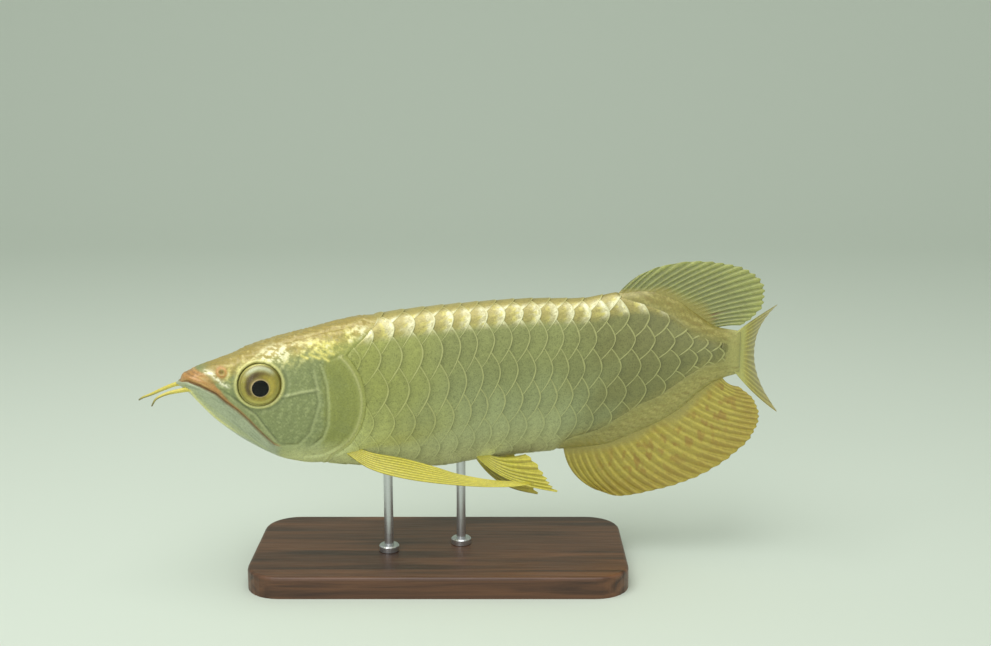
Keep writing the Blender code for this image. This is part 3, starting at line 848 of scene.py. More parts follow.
@dataclass
class Skin:
    """The one skin over head, jaw, gill covers, trunk and tail, with the head's relief."""

    form: FishForm
    marks: Markings
    ring_steps: Table = ((3.0, 120.0, 0.7), (120.0, 245.0, 5.0), (245.0, 358.6, 1.1))
    columns: int = 300
    eye: tuple[float, float] = (49.6, 134.6)
    mouth: Table = (
        (3.0, 137.6), (7.8, 138.2), (14.9, 135.3), (24, 130), (30.2, 123.9), (36.6, 118.5), (43, 111.5),
        (51.3, 101.4), (58.1, 94.2), (61, 93.1),
    )
    lip_width: Table = ((0, 6.5), (0.165, 7.6), (0.23, 6.0), (0.29, 3.4), (0.36, 2.3), (0.5, 1.3), (1, 0.8))
    maxilla: Table = ((24.0, 134.5), (32.6, 128.4), (40.7, 121.0), (47.1, 116.1), (54.2, 104.9), (61.0, 95.8))
    mandible: Table = ((9.2, 131.9), (13.6, 125.4), (19.1, 118.9), (25.7, 111.7), (34.5, 104.5), (45.9, 95.9))
    jaw_fold: Table = ((11.5, 132.4), (16.8, 124.8), (24.4, 117), (34.3, 107.8), (43.5, 99.2), (54.1, 90.2))
    # the line of the painted white highlight along the nose, beside the nostril
    nose_patch: Table = ((18.6, 143.2), (22.3, 142.4), (24.4, 139.7), (28.0, 136.3), (31.0, 134.6))
    temple_strokes: tuple[Table, ...] = (
        ((79.0, 151.8), (87.5, 148.0)), ((83.5, 153.2), (92.0, 149.6)), ((86.5, 150.6), (92.5, 146.2)),
        ((74.5, 151.0), (80.0, 148.6)), ((90.5, 152.6), (96.0, 150.0)),
    )
    preopercle: Table = ((87.0, 142.0), (89.5, 132), (90.3, 119), (90.0, 106), (87, 97), (80, 91.5))
    cheek_front: Table = ((81.7, 140.8), (84.8, 121.3), (79.3, 101.7), (72.3, 93.5), (61.6, 93.8))
    cheek_line: Table = ((63.4, 126.0), (74, 128.0), (84.0, 129.0))
    chin_fold: Table = ((20.0, 110.5), (38, 94.5), (56, 83.5), (78, 77.0))
    temple: Table = ((72.0, 149.0), (82, 150.5), (93, 147.5), (100, 150.0))
    nostril: tuple[float, float] = (27.8, 142.9)
    opercle_rays: tuple[tuple[float, float, float, float], ...] = (
        (92.0, 140.0, 106.0, 131.0), (92.0, 139.0, 108.5, 119.0), (91.5, 137.0, 105.0, 106.0),
        (62.0, 122.0, 70.0, 108.0), (64.0, 131.0, 78.0, 137.0), (66.0, 119.0, 77.0, 112.0),
    )
    snout_rows: Table = ((0.35, -1.1), (0.7, -0.8), (0.92, -0.3))
    stump_rows: Table = ((0.86, 0.98, 0.9), (0.62, 0.95, 1.8), (0.30, 0.91, 2.5))

    def rings(self) -> Points:
        """Ring places along the fish, close together on the head."""
        return np.concatenate([np.arange(start, end, step) for start, end, step in self.ring_steps])

    def eye_distance(self, place: Points) -> Points:
        """How far places lie from the eye's centre, in the side view."""
        return np.hypot(place[..., 0] - self.eye[0], place[..., 2] - self.eye[1])

    def relief(self, place: Points, out: Points) -> Points:
        """How far the skin stands out from the plain form, in millimetres.

        Args:
            place: places on the plain form.
            out: outward directions there.

        Returns:
            The heights.
        """
        along, height = place[..., 0], place[..., 2]
        head = ease(2.0, -2.0, self.marks.behind_gill(along, height))
        mouth, share = path_distance(along, height, self.mouth)
        fade = ease(0.0, 0.03, share) * ease(1.0, 0.93, share)
        lift = -1.2 * bell(mouth, 0.6) * fade
        lift += 0.75 * bell(mouth - 1.9, 1.2) * fade + 0.55 * bell(mouth + 1.6, 1.0) * fade
        for path, depth, width in (
            (self.maxilla, -0.6, 0.7), (self.mandible, 0.4, 0.9), (self.preopercle, -0.6, 0.9),
            (self.cheek_front, -0.5, 0.8), (self.cheek_line, 0.35, 0.8), (self.chin_fold, -0.7, 1.0),
            (self.temple, -0.5, 0.8), (self.jaw_fold, -0.35, 0.8),
            *((stroke, 0.35, 0.8) for stroke in self.temple_strokes),
        ):
            apart, share = path_distance(along, height, path)
            lift += depth * bell(apart, width) * ease(0.0, 0.08, share) * ease(1.0, 0.92, share) * head
        for start_along, start_height, end_along, end_height in self.opercle_rays:
            apart, share = path_distance(along, height, ((start_along, start_height), (end_along, end_height)))
            lift += 0.14 * bell(apart, 0.7) * ease(0, 0.2, share) * ease(1, 0.5, share)
        edge = self.marks.behind_gill(along, height)
        lift += 0.35 * bell(edge + 1.0, 0.9) * ease(76, 92, along) * (height < 150)
        lift -= 0.35 * bell(edge + 3.4, 1.3) * ease(82, 96, along) * (height < 149)
        lift -= 0.8 * ease(-11.0, 0.0, edge) * np.maximum(ease(95, 86, height), ease(156, 166, height))
        crown = ease(0.25, 0.7, out[..., 2]) * head
        rough = ripples(place, 5.0, 2) + 0.8 * ripples(place, 2.6, 3)
        cheek = ease(17.5, 20, self.eye_distance(place)) * (1 - crown)
        lift += 0.20 * rough * crown + 0.04 * rough * head * cheek
        lift -= 0.5 * bell(np.abs(place[..., 1]) - 9.5, 0.8) * crown * ease(60, 72, along)
        nostril = np.hypot(along - self.nostril[0], height - self.nostril[1])
        lift += 0.45 * bell(nostril - 1.9, 0.7) - 1.5 * bell(nostril, 1.0)
        ring = self.eye_distance(place)
        lift += 0.8 * bell(ring - 14.1, 1.0) - 0.35 * bell(ring - 16.4, 1.1)
        lift += 0.25 * bell(ring - 18.4, 1.0) * cheek
        lift -= 6.0 * ease(13.1, 12.1, ring)
        lift += 0.26 * self.marks.ray_roots(place)
        return lift - self.marks.scale_depth * self.marks.scaled(along, height) ** 2.5

    def colour(self, place: Points, out: Points) -> Points:
        """The whole fish's markings with the head's own on top, painted highlights on the crown and nose among
        them.

        Args:
            place: places on the plain form.
            out: outward directions there.

        Returns:
            Linear colours.
        """
        along, height = place[..., 0], place[..., 2]
        paint = self.marks.colour(place, out)
        paint = blend(paint, PALETTE.freckle, 0.3 * self.marks.ray_roots(place) ** 2)
        edge = self.marks.behind_gill(along, height)
        fine = ripples(place, 3.2, 41) + 0.9 * ripples(place, 1.9, 42)
        head = np.broadcast_to(PALETTE.cheek, place.shape).copy()
        gill = ease(84, 92, along) + 0.3 * ripples(place, 16, 4) * ease(72, 90, along)
        head = blend(head, PALETTE.gill, gill)
        head = blend(head, PALETTE.gill_dark, 0.5 * bell(edge + 13, 7.0) * ease(80, 96, along))
        head = blend(head, PALETTE.belly, 0.8 * ease(98, 82, height) * ease(40, 75, along))
        spread = (1 - 0.75 * ease(86, 93, along)) * ease(0.8, 0.3, np.abs(out[..., 2]))
        head = blend(head, PALETTE.fleck, 0.36 * ease(0.4, 1.7, fine) * spread)
        head = blend(head, PALETTE.dusk, 0.28 * ease(0.4, 1.7, -fine) * spread)
        for path, width, strength in (
            (self.cheek_line, 0.8, 0.8), (self.preopercle, 0.9, 0.45), (self.cheek_front, 1.0, 0.35),
        ):
            apart, _ = path_distance(along, height, path)
            head = blend(head, PALETTE.fleck, strength * bell(apart - 0.7, width))
            head = blend(head, PALETTE.dusk, 0.6 * strength * bell(apart + 0.8, width))
        head = self._mouth_colour(head, place)
        head = self._crown_colour(head, place, fine)
        ring = self.eye_distance(place)
        head = blend(head, PALETTE.orbit, 0.8 * bell(ring - 12.9, 1.1))
        head = blend(head, PALETTE.jaw_line, 0.75 * bell(ring - 14.3, 0.8))
        head = blend(head, PALETTE.dusk, 0.35 * bell(ring - 16.2, 1.0) * ease(150, 140, height))
        head = blend(head, PALETTE.rim, 0.85 * bell(edge + 0.9, 0.8) * ease(80, 94, along) * (height < 150))
        return blend(head, paint, np.where(height > 150, ease(-6.0, 4.0, edge), ease(-0.3, 0.5, edge)))

    def _mouth_colour(self, head: Points, place: Points) -> Points:
        """Adds the streaked lips, the slit and the pale lower jaw with its yellow line.

        Args:
            head: colours so far.
            place: places on the plain form.

        Returns:
            Linear colours.
        """
        along, height = place[..., 0], place[..., 2]
        mouth, share = path_distance(along, height, self.mouth)
        streak = ripples(np.stack([along * 0.16, place[..., 1] * 0.1, mouth], axis=-1), 2.2, 25)
        ahead = ease(64, 58, along)
        below = ease(0.3, -0.6, mouth) * ahead
        head = blend(head, PALETTE.jaw, below)
        head = blend(head, PALETTE.jaw_dusk, 0.55 * ease(-0.2, 1.2, streak) * below)
        line, line_share = path_distance(along, height, self.mandible)
        head = blend(head, PALETTE.jaw_line, 0.95 * bell(line, 1.0) * ease(1.0, 0.45, line_share) * ahead)
        fold, _ = path_distance(along, height, self.jaw_fold)
        head = blend(head, PALETTE.fleck, 0.5 * bell(fold, 0.9) * ahead)
        width = smooth(self.lip_width, share)
        lip = ease(width + 1.0, width - 0.6, mouth) * ease(-0.6, 0.1, mouth) * ahead
        lip = lip * (1 - 0.35 * ease(0.4, 0.8, share)) * (0.70 + 0.22 * ease(-1, 1, streak))
        head = blend(head, PALETTE.lip, lip)
        head = blend(head, PALETTE.lip_pale, 0.75 * lip * ease(0.1, 1.2, streak))
        head = blend(head, PALETTE.slit, 0.7 * lip * ease(-0.4, -1.3, streak))
        jaw_back, _ = path_distance(along, height, self.maxilla)
        head = blend(head, PALETTE.fleck, 0.6 * bell(jaw_back + 0.9, 0.9) * ease(26, 36, along) * ahead)
        head = blend(head, PALETTE.dusk, 0.7 * bell(jaw_back, 0.6) * ease(26, 36, along) * ahead)
        return blend(head, PALETTE.slit, (0.75 - 0.25 * ease(0.3, 0.9, share)) * bell(mouth, 0.6) * ahead)

    def _crown_colour(self, head: Points, place: Points, fine: Points) -> Points:
        """Adds the crinkled gold of the crown and temple with its painted highlights: a band along the crown's
        curve that is partly real gold and partly painted highlight, and painted glints on it, above the eye, at
        the nape and on the nose.

        Args:
            head: colours so far.
            place: places on the plain form.
            fine: small-scale noise.

        Returns:
            Linear colours.
        """
        along, height = place[..., 0], place[..., 2]
        fall = smooth(self.form.back, along) - height
        crown = ease(13.0, 5.0, fall + 1.6 * ripples(place, 8, 6)) * ease(13, 24, along)
        head = blend(head, PALETTE.crown, crown)
        crinkle = ripples(place, 4.6, 21) + 0.7 * fine + 0.5 * ripples(place, 15, 23)
        # shine: a band along the crown's curve, partly real gold and partly painted highlight where the
        # overhead light catches it
        shine = bell(fall - 8.8, 5.6) * ease(22, 42, along)
        head = blend(head, PALETTE.gold, shine * (0.22 + 0.78 * ease(-0.3, 0.9, crinkle)))
        # painted highlight: white-gold glints above the eye and at the nape
        brow = bell(along - 60, 14) * bell(fall - 7.5, 4.5) + bell(along - 114, 6) * bell(fall - 9.5, 5)
        head = blend(head, PALETTE.pale_gold, 0.95 * brow * ease(-0.2, 0.8, crinkle))
        # painted glints: the brightest crinkles of the band turned near white
        head = blend(head, PALETTE.pale_gold, 0.45 * shine * ease(1.2, 2.0, crinkle))
        head = blend(head, PALETTE.dusk, 0.35 * shine * ease(-1.1, -2.0, crinkle))
        for stroke in self.temple_strokes:
            apart, share = path_distance(along, height, stroke)
            fade = ease(0, 0.15, share) * ease(1, 0.85, share)
            head = blend(head, PALETTE.gold, 0.9 * bell(apart, 0.9) * fade)
        # painted highlight: a white patch along the nose
        nose, _ = path_distance(along, height, self.nose_patch)
        head = blend(head, PALETTE.pale_gold, 0.95 * bell(nose, 1.2) * ease(-1.6, 0.4, fine))
        nostril = np.hypot(along - self.nostril[0], height - self.nostril[1])
        head = blend(head, PALETTE.lip, 0.75 * bell(nostril - 2.5, 0.9))
        return blend(head, PALETTE.slit, 0.7 * bell(nostril, 0.9))

    def build(self, finish: Gloss) -> bpy.types.Object:
        """Makes the skin and closes its two ends.

        Args:
            finish: the skin's finish.

        Returns:
            The skin object.
        """
        turn = np.linspace(-1, 1, self.columns, endpoint=False)
        along, turn = np.meshgrid(self.rings(), turn, indexing="ij")
        place, out = self.form.skin(along, turn)
        paint = self.colour(place, out)
        moved = place + out * self.relief(place, out)[..., None]
        moved[..., 1] *= self.marks.narrowed(along)
        front, rear = moved[0].mean(axis=0), np.array([0, 0, moved[-1, :, 2].mean()])
        snout = [front + (moved[0] - front) * share + (step, 0, 0) for share, step in self.snout_rows]
        stump = [
            rear + (moved[-1] - rear) * (1, wide, tall) + (step, 0, 0) for wide, tall, step in self.stump_rows
        ]
        moved = np.concatenate([snout, moved, stump])
        paint = np.concatenate([[paint[0]] * len(snout), paint, [paint[-1]] * len(stump)])
        spread = [np.linspace(0.02, 0.98, count) for count in moved.shape[:2]]
        bake_map = np.stack(np.meshgrid(*spread, indexing="ij"), axis=-1)
        flesh = ("head", "lower_jaw", "gill_cover_left", "gill_cover_right", "trunk", "tail")
        return tube("skin", "skin", self.form.placed(moved), paint, bake_map).build(finish.material(), flesh)


@dataclass
class ScaleCoat:
    """Overlapping round plates, each with a raised pale rim along its free rear edge."""

    form: FishForm
    marks: Markings
    stations: Table = (
        (-2, 98.5), (-1, 111.5), (0, 124.5), (1, 138), (3, 164), (6, 198), (9, 233.5), (12, 267), (15, 306),
        (17, 331), (19, 349), (20, 356),
    )
    rows: tuple[Table, ...] = (
        ((105, 157), (152, 167.1), (211, 169.3), (302, 164.3), (350, 152)),
        ((105, 146), (152, 148.4), (211, 154.6), (302, 150), (350, 147.5)),
        ((105, 127), (152, 125.3), (211, 133.9), (302, 133.2), (350, 141)),
        ((105, 106), (152, 103.3), (211, 114.7), (302, 116.7), (350, 134)),
        ((105, 88), (152, 83.9), (211, 95.1), (302, 100.2), (350, 128)),
        ((105, 76), (152, 71.5), (211, 78.5), (250, 79.5), (302, 86)),
    )
    row_shift: float = 0.30
    plate_length: float = 2.05
    half_height: float = 1.0
    sag: float = 1.0
    roundness: float = 1.7
    tilt: float = 0.038
    thickness: float = 0.14
    swell: float = 0.18
    rim_width: float = 0.92
    rim_height: float = 0.10
    gill_gap: float = 7.0
    gill_heights: tuple[float, float] = (90.0, 149.0)
    counts: range = range(-3, 22)
    number_limits: tuple[float, float] = (-1.6, 20.3)
    back_run: tuple[float, float] = (118.0, 282.0)
    keel_run: tuple[float, float] = (94.0, 243.0)
    front_limit: float = 8.4
    back_rows: tuple[int, ...] = (-1, 0, 1)
    rim_share: float = 0.46
    rim_grid: tuple[int, int] = (45, 6)
    across: int = 27
    edge_steps: tuple[float, ...] = (
        0, 0.01, 0.025, 0.045, 0.07, 0.1, 0.14, 0.19, 0.25, 0.32, 0.4, 0.5, 0.62, 0.78, 1.0,
    )

    def station(self, number: Points | float) -> Points:
        """Where a scale of this number has its rearmost point."""
        return smooth(self.stations, number)

    def pitch(self, number: float) -> float:
        """The spacing of scales in a row at this number."""
        return float(self.station(number + 0.5) - self.station(number - 0.5))

    def row_turn(self, row: int, along: Points) -> Points:
        """A row's turn round the body, read quickly from a short table.

        Args:
            row: the row, from the back down; -1 is the back's own and the last is the keel's.
            along: places along the fish.

        Returns:
            The turns.
        """
        if row < 0:
            return np.zeros_like(along)
        if row >= len(self.rows):
            return np.ones_like(along)
        knots = np.arange(96.0, 360.0, 6.0)
        turns = self.form.turn_at(knots, smooth(self.rows[row], knots))
        return np.interp(along, knots, turns)

    def plates(self) -> list[Plate]:
        """Every plate as its row, flank and number, back and keel rows once only."""
        found = []
        for row in range(-1, len(self.rows) + 1):
            sides = (Side.LEFT,) if row in (-1, len(self.rows)) else tuple(Side)
            numbers = [count + self.row_shift * (row - 1) % 1 for count in self.counts]
            found += [(row, side, number) for side in sides for number in numbers if self.kept(row, number)]
        return found

    def kept(self, row: int, number: float) -> bool:
        """Whether a plate shows anywhere outside the head, fin bands and tail root."""
        if not self.number_limits[0] <= number <= self.number_limits[1]:
            return False
        tip = np.array([float(self.station(number))]) - 3.0
        place, _ = self.form.skin(tip, self.row_turn(row, tip))
        if row in (-1, len(self.rows)):
            start, end = self.back_run if row == -1 else self.keel_run
            return bool(start < tip[0] < end)
        gap = float(self.marks.behind_gill(tip + 3.0, place[..., 2])[0])
        low, high = self.gill_heights
        if gap < self.gill_gap and low < place[0, 2] < high:
            return False
        near = max(float(self.marks.scaled(tip + shift, place[..., 2])[0]) for shift in (-6.0, -2.0, 0.0))
        return near > 0.05

    def surface(self, row: int, side: Side, number: float, back: Points, over: Points, above: Points) -> Points:
        """Places over one plate.

        Args:
            row: the plate's row.
            side: its flank.
            number: its number in the row.
            back: distance forward from the free edge, as a share of the plate's length.
            over: share of the half height above or below the row's line.
            above: extra height over the plate, in millimetres.

        Returns:
            Places and outward directions.
        """
        tip = float(self.station(number))
        spacing = self.pitch(number)
        spread = self.row_gap(row, tip)
        length = spacing * self.plate_length * np.sqrt(np.clip(1 - 0.93 * over**2, 0.02, 1))
        sag = spacing * self.sag * np.abs(over) ** self.roundness
        along = tip - sag - back * length
        girth = self.form.half_girth(along)
        turn = self.row_turn(row, along) + over * spread * self.half_height / girth
        place, out = self.form.skin(along, turn * side.value)
        dome = self.swell * (1 - over**2) * (1 - (2 * back - 0.7) ** 2) * 0.5
        rise = -0.12 + self.tilt * (along - tip) + dome
        shown = self.marks.scaled(along, place[..., 2])
        lift = (rise + above) * shown + (above - 2.4) * (1 - shown) ** 2
        moved = place + out * lift[..., None]
        moved[..., 1] *= self.marks.narrowed(along)
        return moved, out

    def row_gap(self, row: int, along: float) -> float:
        """The spacing of rows round the body at this place, in millimetres."""
        upper, lower = max(row - 1, -1), min(row + 1, len(self.rows))
        lines = [float(self.row_turn(near, np.array([along]))[0]) for near in (upper, lower)]
        return (lines[1] - lines[0]) * float(self.form.half_girth(along)) / (lower - upper)

    def bake_patch(self, side: Side, row: int, number: float, first: Points, second: Points) -> Points:
        """The plate's small patch at its root's place on the unwrapped skin."""
        root = float(self.station(number)) - self.pitch(number) * self.plate_length
        centre_u = 0.03 + 0.94 * (root - self.form.start) / (self.form.end - self.form.start)
        turn = float(self.row_turn(row, np.array([root]))[0]) * side.value
        centre_v = 0.5 + 0.47 * turn
        size = 0.003
        return np.stack([centre_u + (first - 0.5) * size, centre_v + (second - 0.5) * size], axis=-1)

    def shade(self, place: Points, out: Points, row: int, number: float, back: Points) -> Points:
        """A plate's colours: the fish's markings, painted shade in the pocket under the plate ahead, a painted
        white-gold highlight on the uppermost rows and its own small variation.

        Args:
            place: places over the plate.
            out: outward directions.
            row: its row.
            number: its number.
            back: share of the length forward from the free edge.

        Returns:
            Linear colours.
        """
        draw = np.random.default_rng(1000 + 100 * (row + 2) + int(number * 3 + 12))
        paint = self.marks.colour(place, out) * draw.uniform(0.94, 1.07)
        core = ease(0.02, 0.12, back) * ease(175, 290, place[..., 0])
        # painted shade: darker where the plate ahead overlaps this one
        paint = paint * (1 - 0.20 * ease(0.34, 0.50, back))[..., None]
        paint = paint * (1 - 0.07 * bell(back - 0.06, 0.05) - 0.10 * core)[..., None]
        grain = ripples(place, 2.4, 33)
        paint = paint * (1 + 0.045 * grain)[..., None]
        if row in self.back_rows:
            near_back = self.near_back(place)
            glitter = ripples(place, 4.2, 31) + 0.8 * grain
            band = ease(0.26, 0.12, back + 0.075 * glitter)
            golden = 0.6 * near_back * ease(0.5, 0.2, back) * ease(0.0, 1.2, glitter)
            # painted highlight: white-gold near the free edges of the uppermost scales
            bright = near_back * band * (0.30 + 0.55 * ease(-0.8, 0.5, glitter))
            paint = blend(paint, PALETTE.back, 0.7 * near_back)
            paint = blend(blend(paint, PALETTE.gold, golden), PALETTE.bright_scale, bright)
        return paint

    def near_back(self, place: Points) -> Points:
        """Where the uppermost scales take the back's colour, gold and a painted white-gold highlight, just
        under the back's edge.
        """
        fall = smooth(self.form.back, place[..., 0]) - place[..., 2]
        return ease(16.0, 10.0, fall) * ease(1.2, 4.0, fall) * ease(335, 290, place[..., 0])

    def rim_strength(self, place: Points) -> Points:
        """How plain the pale rims show: faint on the belly, by the gill and at the limits."""
        along, height = place[..., 0], place[..., 2]
        belly = 1 - 0.85 * ease(114, 88, height) * ease(278, 240, along)
        gill = 0.25 + 0.75 * ease(4.0, 16.0, self.marks.behind_gill(along, height))
        gill = np.where(height > 150, 1.0, gill)
        return belly * gill * self.marks.scaled(along, height)

    def build(self, plate_finish: Gloss, rim_finish: Gloss) -> None:
        """Makes the plates and rims in pieces of a few dozen plates each.

        Args:
            plate_finish: finish of the plates.
            rim_finish: finish of the raised rims.
        """
        found = self.plates()
        plate_material = plate_finish.material()
        rim_material = rim_finish.material()
        over, back = np.meshgrid(
            np.linspace(-0.99, 0.99, self.across), np.array(self.edge_steps), indexing="ij"
        )
        steps, arcs = self.rim_grid
        rim_over, angle = np.meshgrid(
            np.linspace(-0.93, 0.93, steps), np.linspace(0, math.pi, arcs), indexing="ij"
        )
        rounded = 0.5 - 0.5 * np.cos(angle)
        for side in Side:
            for part in ("front", "rear"):
                plates = [
                    plate for plate in found
                    if plate[1] is side and (plate[2] < self.front_limit) == (part == "front")
                ]
                name = f"{side.word}_{part}"
                solids = [self.plate_solid(plate, over, back) for plate in plates]
                self.joined(f"scales_{name}", plates, solids, over, back).build(plate_material)
                solids = [self.rim_solid(plate, rim_over, angle) for plate in plates]
                self.joined(f"scale_rims_{name}", plates, solids, rim_over, rounded).build(rim_material)

    def joined(self, name: str, plates: list[Plate], solids: list[Solid], over: Points, down: Points) -> Piece:
        """Joins the solids of some plates or rims into one piece.

        Args:
            name: the piece's name.
            plates: the plates.
            solids: each plate's front places, rear places and colours.
            over: every point's share of the half height.
            down: every point's share across its bake patch, from the free edge.

        Returns:
            The piece.
        """
        quads = solid_quads(*over.shape)
        points, faces, paints, maps = [], [], [], []
        for order, ((row, side, number), (front, rear, paint)) in enumerate(zip(plates, solids)):
            both = np.concatenate([front.reshape(-1, 3), rear.reshape(-1, 3)])
            points.append(self.form.placed(both))
            paints.append(np.tile(paint.reshape(-1, 3), (2, 1)))
            faces.append(quads + order * len(both))
            maps += [
                self.bake_patch(side, row, number, start + down * 0.5, (over + 1) / 2).reshape(-1, 2)
                for start in (0.0, 0.5)
            ]
        return Piece(
            name, "skin", np.concatenate(points), np.concatenate(faces), np.concatenate(paints),
            bake_map=np.concatenate(maps),
        )

    def plate_solid(self, plate: Plate, over: Points, back: Points) -> Solid:
        """One plate's front places, rear places and colours."""
        row, side, number = plate
        thin = self.thickness * ease(0.0, 0.02, back) * ease(1.0, 0.95, np.abs(over))
        front, out = self.surface(row, side, number, back, over, 0 * over)
        rear, _ = self.surface(row, side, number, back, over, -0.04 - thin)
        return front, rear, self.shade(front, out, row, number, back)

    def rim_solid(self, plate: Plate, over: Points, angle: Points) -> Solid:
        """One raised rim's front places, rear places and colours.

        Args:
            plate: the rim's plate.
            over: every point's share of the half height.
            angle: every point's angle over the rim's rounded section.

        Returns:
            The places and colours.
        """
        row, side, number = plate
        pitch = self.pitch(number)
        slope = pitch * self.sag * self.roundness * np.abs(over) ** (self.roundness - 1)
        slant = np.hypot(1, slope / (self.row_gap(row, float(self.station(number))) * self.half_height))
        taper = np.sqrt(np.clip(1 - (over / 0.95) ** 6, 0.05, 1))
        uneven = ripples(np.stack([over * 9, over * 0 + row, over * 0 + number], axis=-1), 5.0, 44)
        width = self.rim_width * taper * slant * (1 + 0.22 * uneven)
        back = (0.5 - 0.5 * np.cos(angle)) * width / (pitch * self.plate_length)
        flat, _ = self.surface(row, side, number, back, over, 0 * over)
        strength = self.rim_strength(flat)
        arch = self.rim_height * taper * np.sin(angle) * (0.3 + 0.7 * strength) + 0.012
        front, out = self.surface(row, side, number, back, over, arch)
        rear, _ = self.surface(row, side, number, back, over, arch * 0 - 0.03)
        paint = blend(self.marks.colour(front, out), PALETTE.rim, self.rim_share * strength)
        if row in self.back_rows:
            # painted highlight: rims near the back lightened towards white-gold
            paint = blend(paint, PALETTE.bright_scale, 0.5 * self.near_back(front))
        return front, rear, paint


@dataclass
class FinShape:
    """A fin's sheet: a place for each (across, out), both 0 to 1."""

    form: FishForm

    def ray_place(self, base: Points, end: Points, v: Points, bow: Points | float) -> Points:
        """A place on a bowed ray in the median plane."""
        reach = end - base
        length = np.linalg.norm(reach, axis=-1, keepdims=True)
        forward = np.stack([reach[..., 1], -reach[..., 0]], axis=-1) / length
        lift = np.asarray(bow * 4 * v * (1 - v))[..., None]
        place = base + reach * v[..., None] + forward * lift
        return self.form.world(place[..., 0], 0, place[..., 1])


@dataclass
class DorsalShape(FinShape):
    """The back fin, set far to the rear."""

    base: Table = ((281, 181), (300, 181.5), (318, 176.5), (331, 168), (342, 159.5))
    margin: Table = (
        (296, 190.8), (311, 196.8), (333, 200), (349, 199), (362, 196.2), (371, 190.6), (375.4, 182.5),
        (375, 174), (369, 165), (361, 158.6),
    )
    root_depth: float = 4.0

    def __call__(self, u: Points, v: Points) -> Points:
        """The place on the fin in metres."""
        base = curve(self.base, u) - np.array([0, self.root_depth])
        return self.ray_place(base, curve(self.margin, u), v, -1.0)


@dataclass
class AnalShape(FinShape):
    """The long fin under the tail."""

    base: Table = (
        (247, 75), (262, 76), (279, 79), (296, 86.5), (313, 95.8), (328, 106.5), (341, 117.5), (350, 124),
    )
    margin: Table = (
        (270, 45.5), (286, 41), (309, 45.6), (333, 54.2), (356, 69.4), (370.5, 85.5), (374.8, 98), (371, 109.5),
        (361, 118.3),
    )
    root_depth: float = 4.0
    bow: float = 6.0

    def __call__(self, u: Points, v: Points) -> Points:
        """The place on the fin in metres."""
        inward = np.stack([-0.4 * self.root_depth * u, self.root_depth + 0 * u], axis=-1)
        return self.ray_place(curve(self.base, u) + inward, curve(self.margin, u), v, self.bow * (1 - 0.5 * u))


@dataclass
class CaudalShape(FinShape):
    """The tail fin, swept to the fish's right."""

    root: float = 357.0
    heights: tuple[float, float] = (128.6, 153.6)
    straight_run: float = 14.0
    fan_rise: tuple[float, float] = (-17.0, 12.0)
    ray_ends: Table = ((226.0, 35.0, 93.3), (211.5, 58.0, 131.0), (224.3, 42.0, 167.1))

    def __call__(self, u: Points, v: Points) -> Points:
        """The place on the fin in metres."""
        low, high = self.heights
        root = self.form.world(self.root, 0, low + (high - low) * u)
        ahead = self.form.world(self.root + 10, 0, 0) - self.form.world(self.root, 0, 0)
        ahead = ahead / np.linalg.norm(ahead)
        lowest, middle, highest = (np.array(end) * MM for end in self.ray_ends)
        outer = 2 * u - 1
        tip = np.where((outer > 0)[..., None], highest, lowest)
        spread = np.abs(outer)
        share = np.stack([spread**2, spread**2, spread**0.95], axis=-1)
        end = middle + (tip - middle) * share
        rise = np.interp(outer, (-1, 0, 1), (self.fan_rise[0], 0, self.fan_rise[1]))
        bend = root + ahead * self.straight_run * MM
        bend[..., 2] += rise * MM
        v = v[..., None]
        return root * (1 - v) ** 2 + bend * 2 * v * (1 - v) + end * v * v


@dataclass
class PectoralShape(FinShape):
    """The long blade-like fin behind the gill."""

    side: Side = Side.LEFT
    lead: Table = (
        (102, 8.5, 85), (115, 22.5, 77.5), (132, 34.4, 73.9), (155, 45.9, 71.8), (179, 55, 70.9),
        (198, 61.2, 71.6), (213.4, 65.1, 73.8),
    )
    trail: Table = (
        (108, 8.5, 88), (119, 15.2, 85.3), (135, 18.4, 81.9), (154, 29.5, 78), (169, 40, 74.8),
        (189, 51.5, 73.2), (213.4, 64.7, 74.6),
    )

    def __call__(self, u: Points, v: Points) -> Points:
        """The place on the fin in metres."""
        u = u[..., None]
        place = curve(self.lead, v) * (1 - u) + curve(self.trail, v) * u
        return self.form.world(place[..., 0], self.side.value * place[..., 1], place[..., 2])


@dataclass
class PelvicShape(FinShape):
    """The short belly fin."""

    side: Side = Side.LEFT
    root: Table = ((187.5, 5.0, 75.0), (195.0, 4.0, 76.0))
    left_margin: Table = (
        (239.6, 34.5, 56.3), (235, 32, 59.5), (232, 30, 62.8), (229.5, 28, 66.8), (225, 24, 73),
        (219.5, 19, 78.5),
    )
    right_margin: Table = (
        (235.1, 14, 38.6), (231, 14.6, 43.5), (228, 15, 48.5), (225, 15.3, 54.5), (221, 15.5, 62.5),
        (216, 15.5, 71),
    )
    left_bow: float = 7.0
    right_bow: float = 9.5

    def __call__(self, u: Points, v: Points) -> Points:
        """The place on the fin in metres."""
        left = self.side is Side.LEFT
        root = curve(self.root, u)
        end = curve(self.left_margin if left else self.right_margin, u)
        place = root + (end - root) * v[..., None]
        sag = (self.left_bow if left else self.right_bow) * (1 - 0.6 * u) * np.sin(math.pi * v**0.75)
        return self.form.world(place[..., 0], self.side.value * place[..., 1], place[..., 2] - sag)


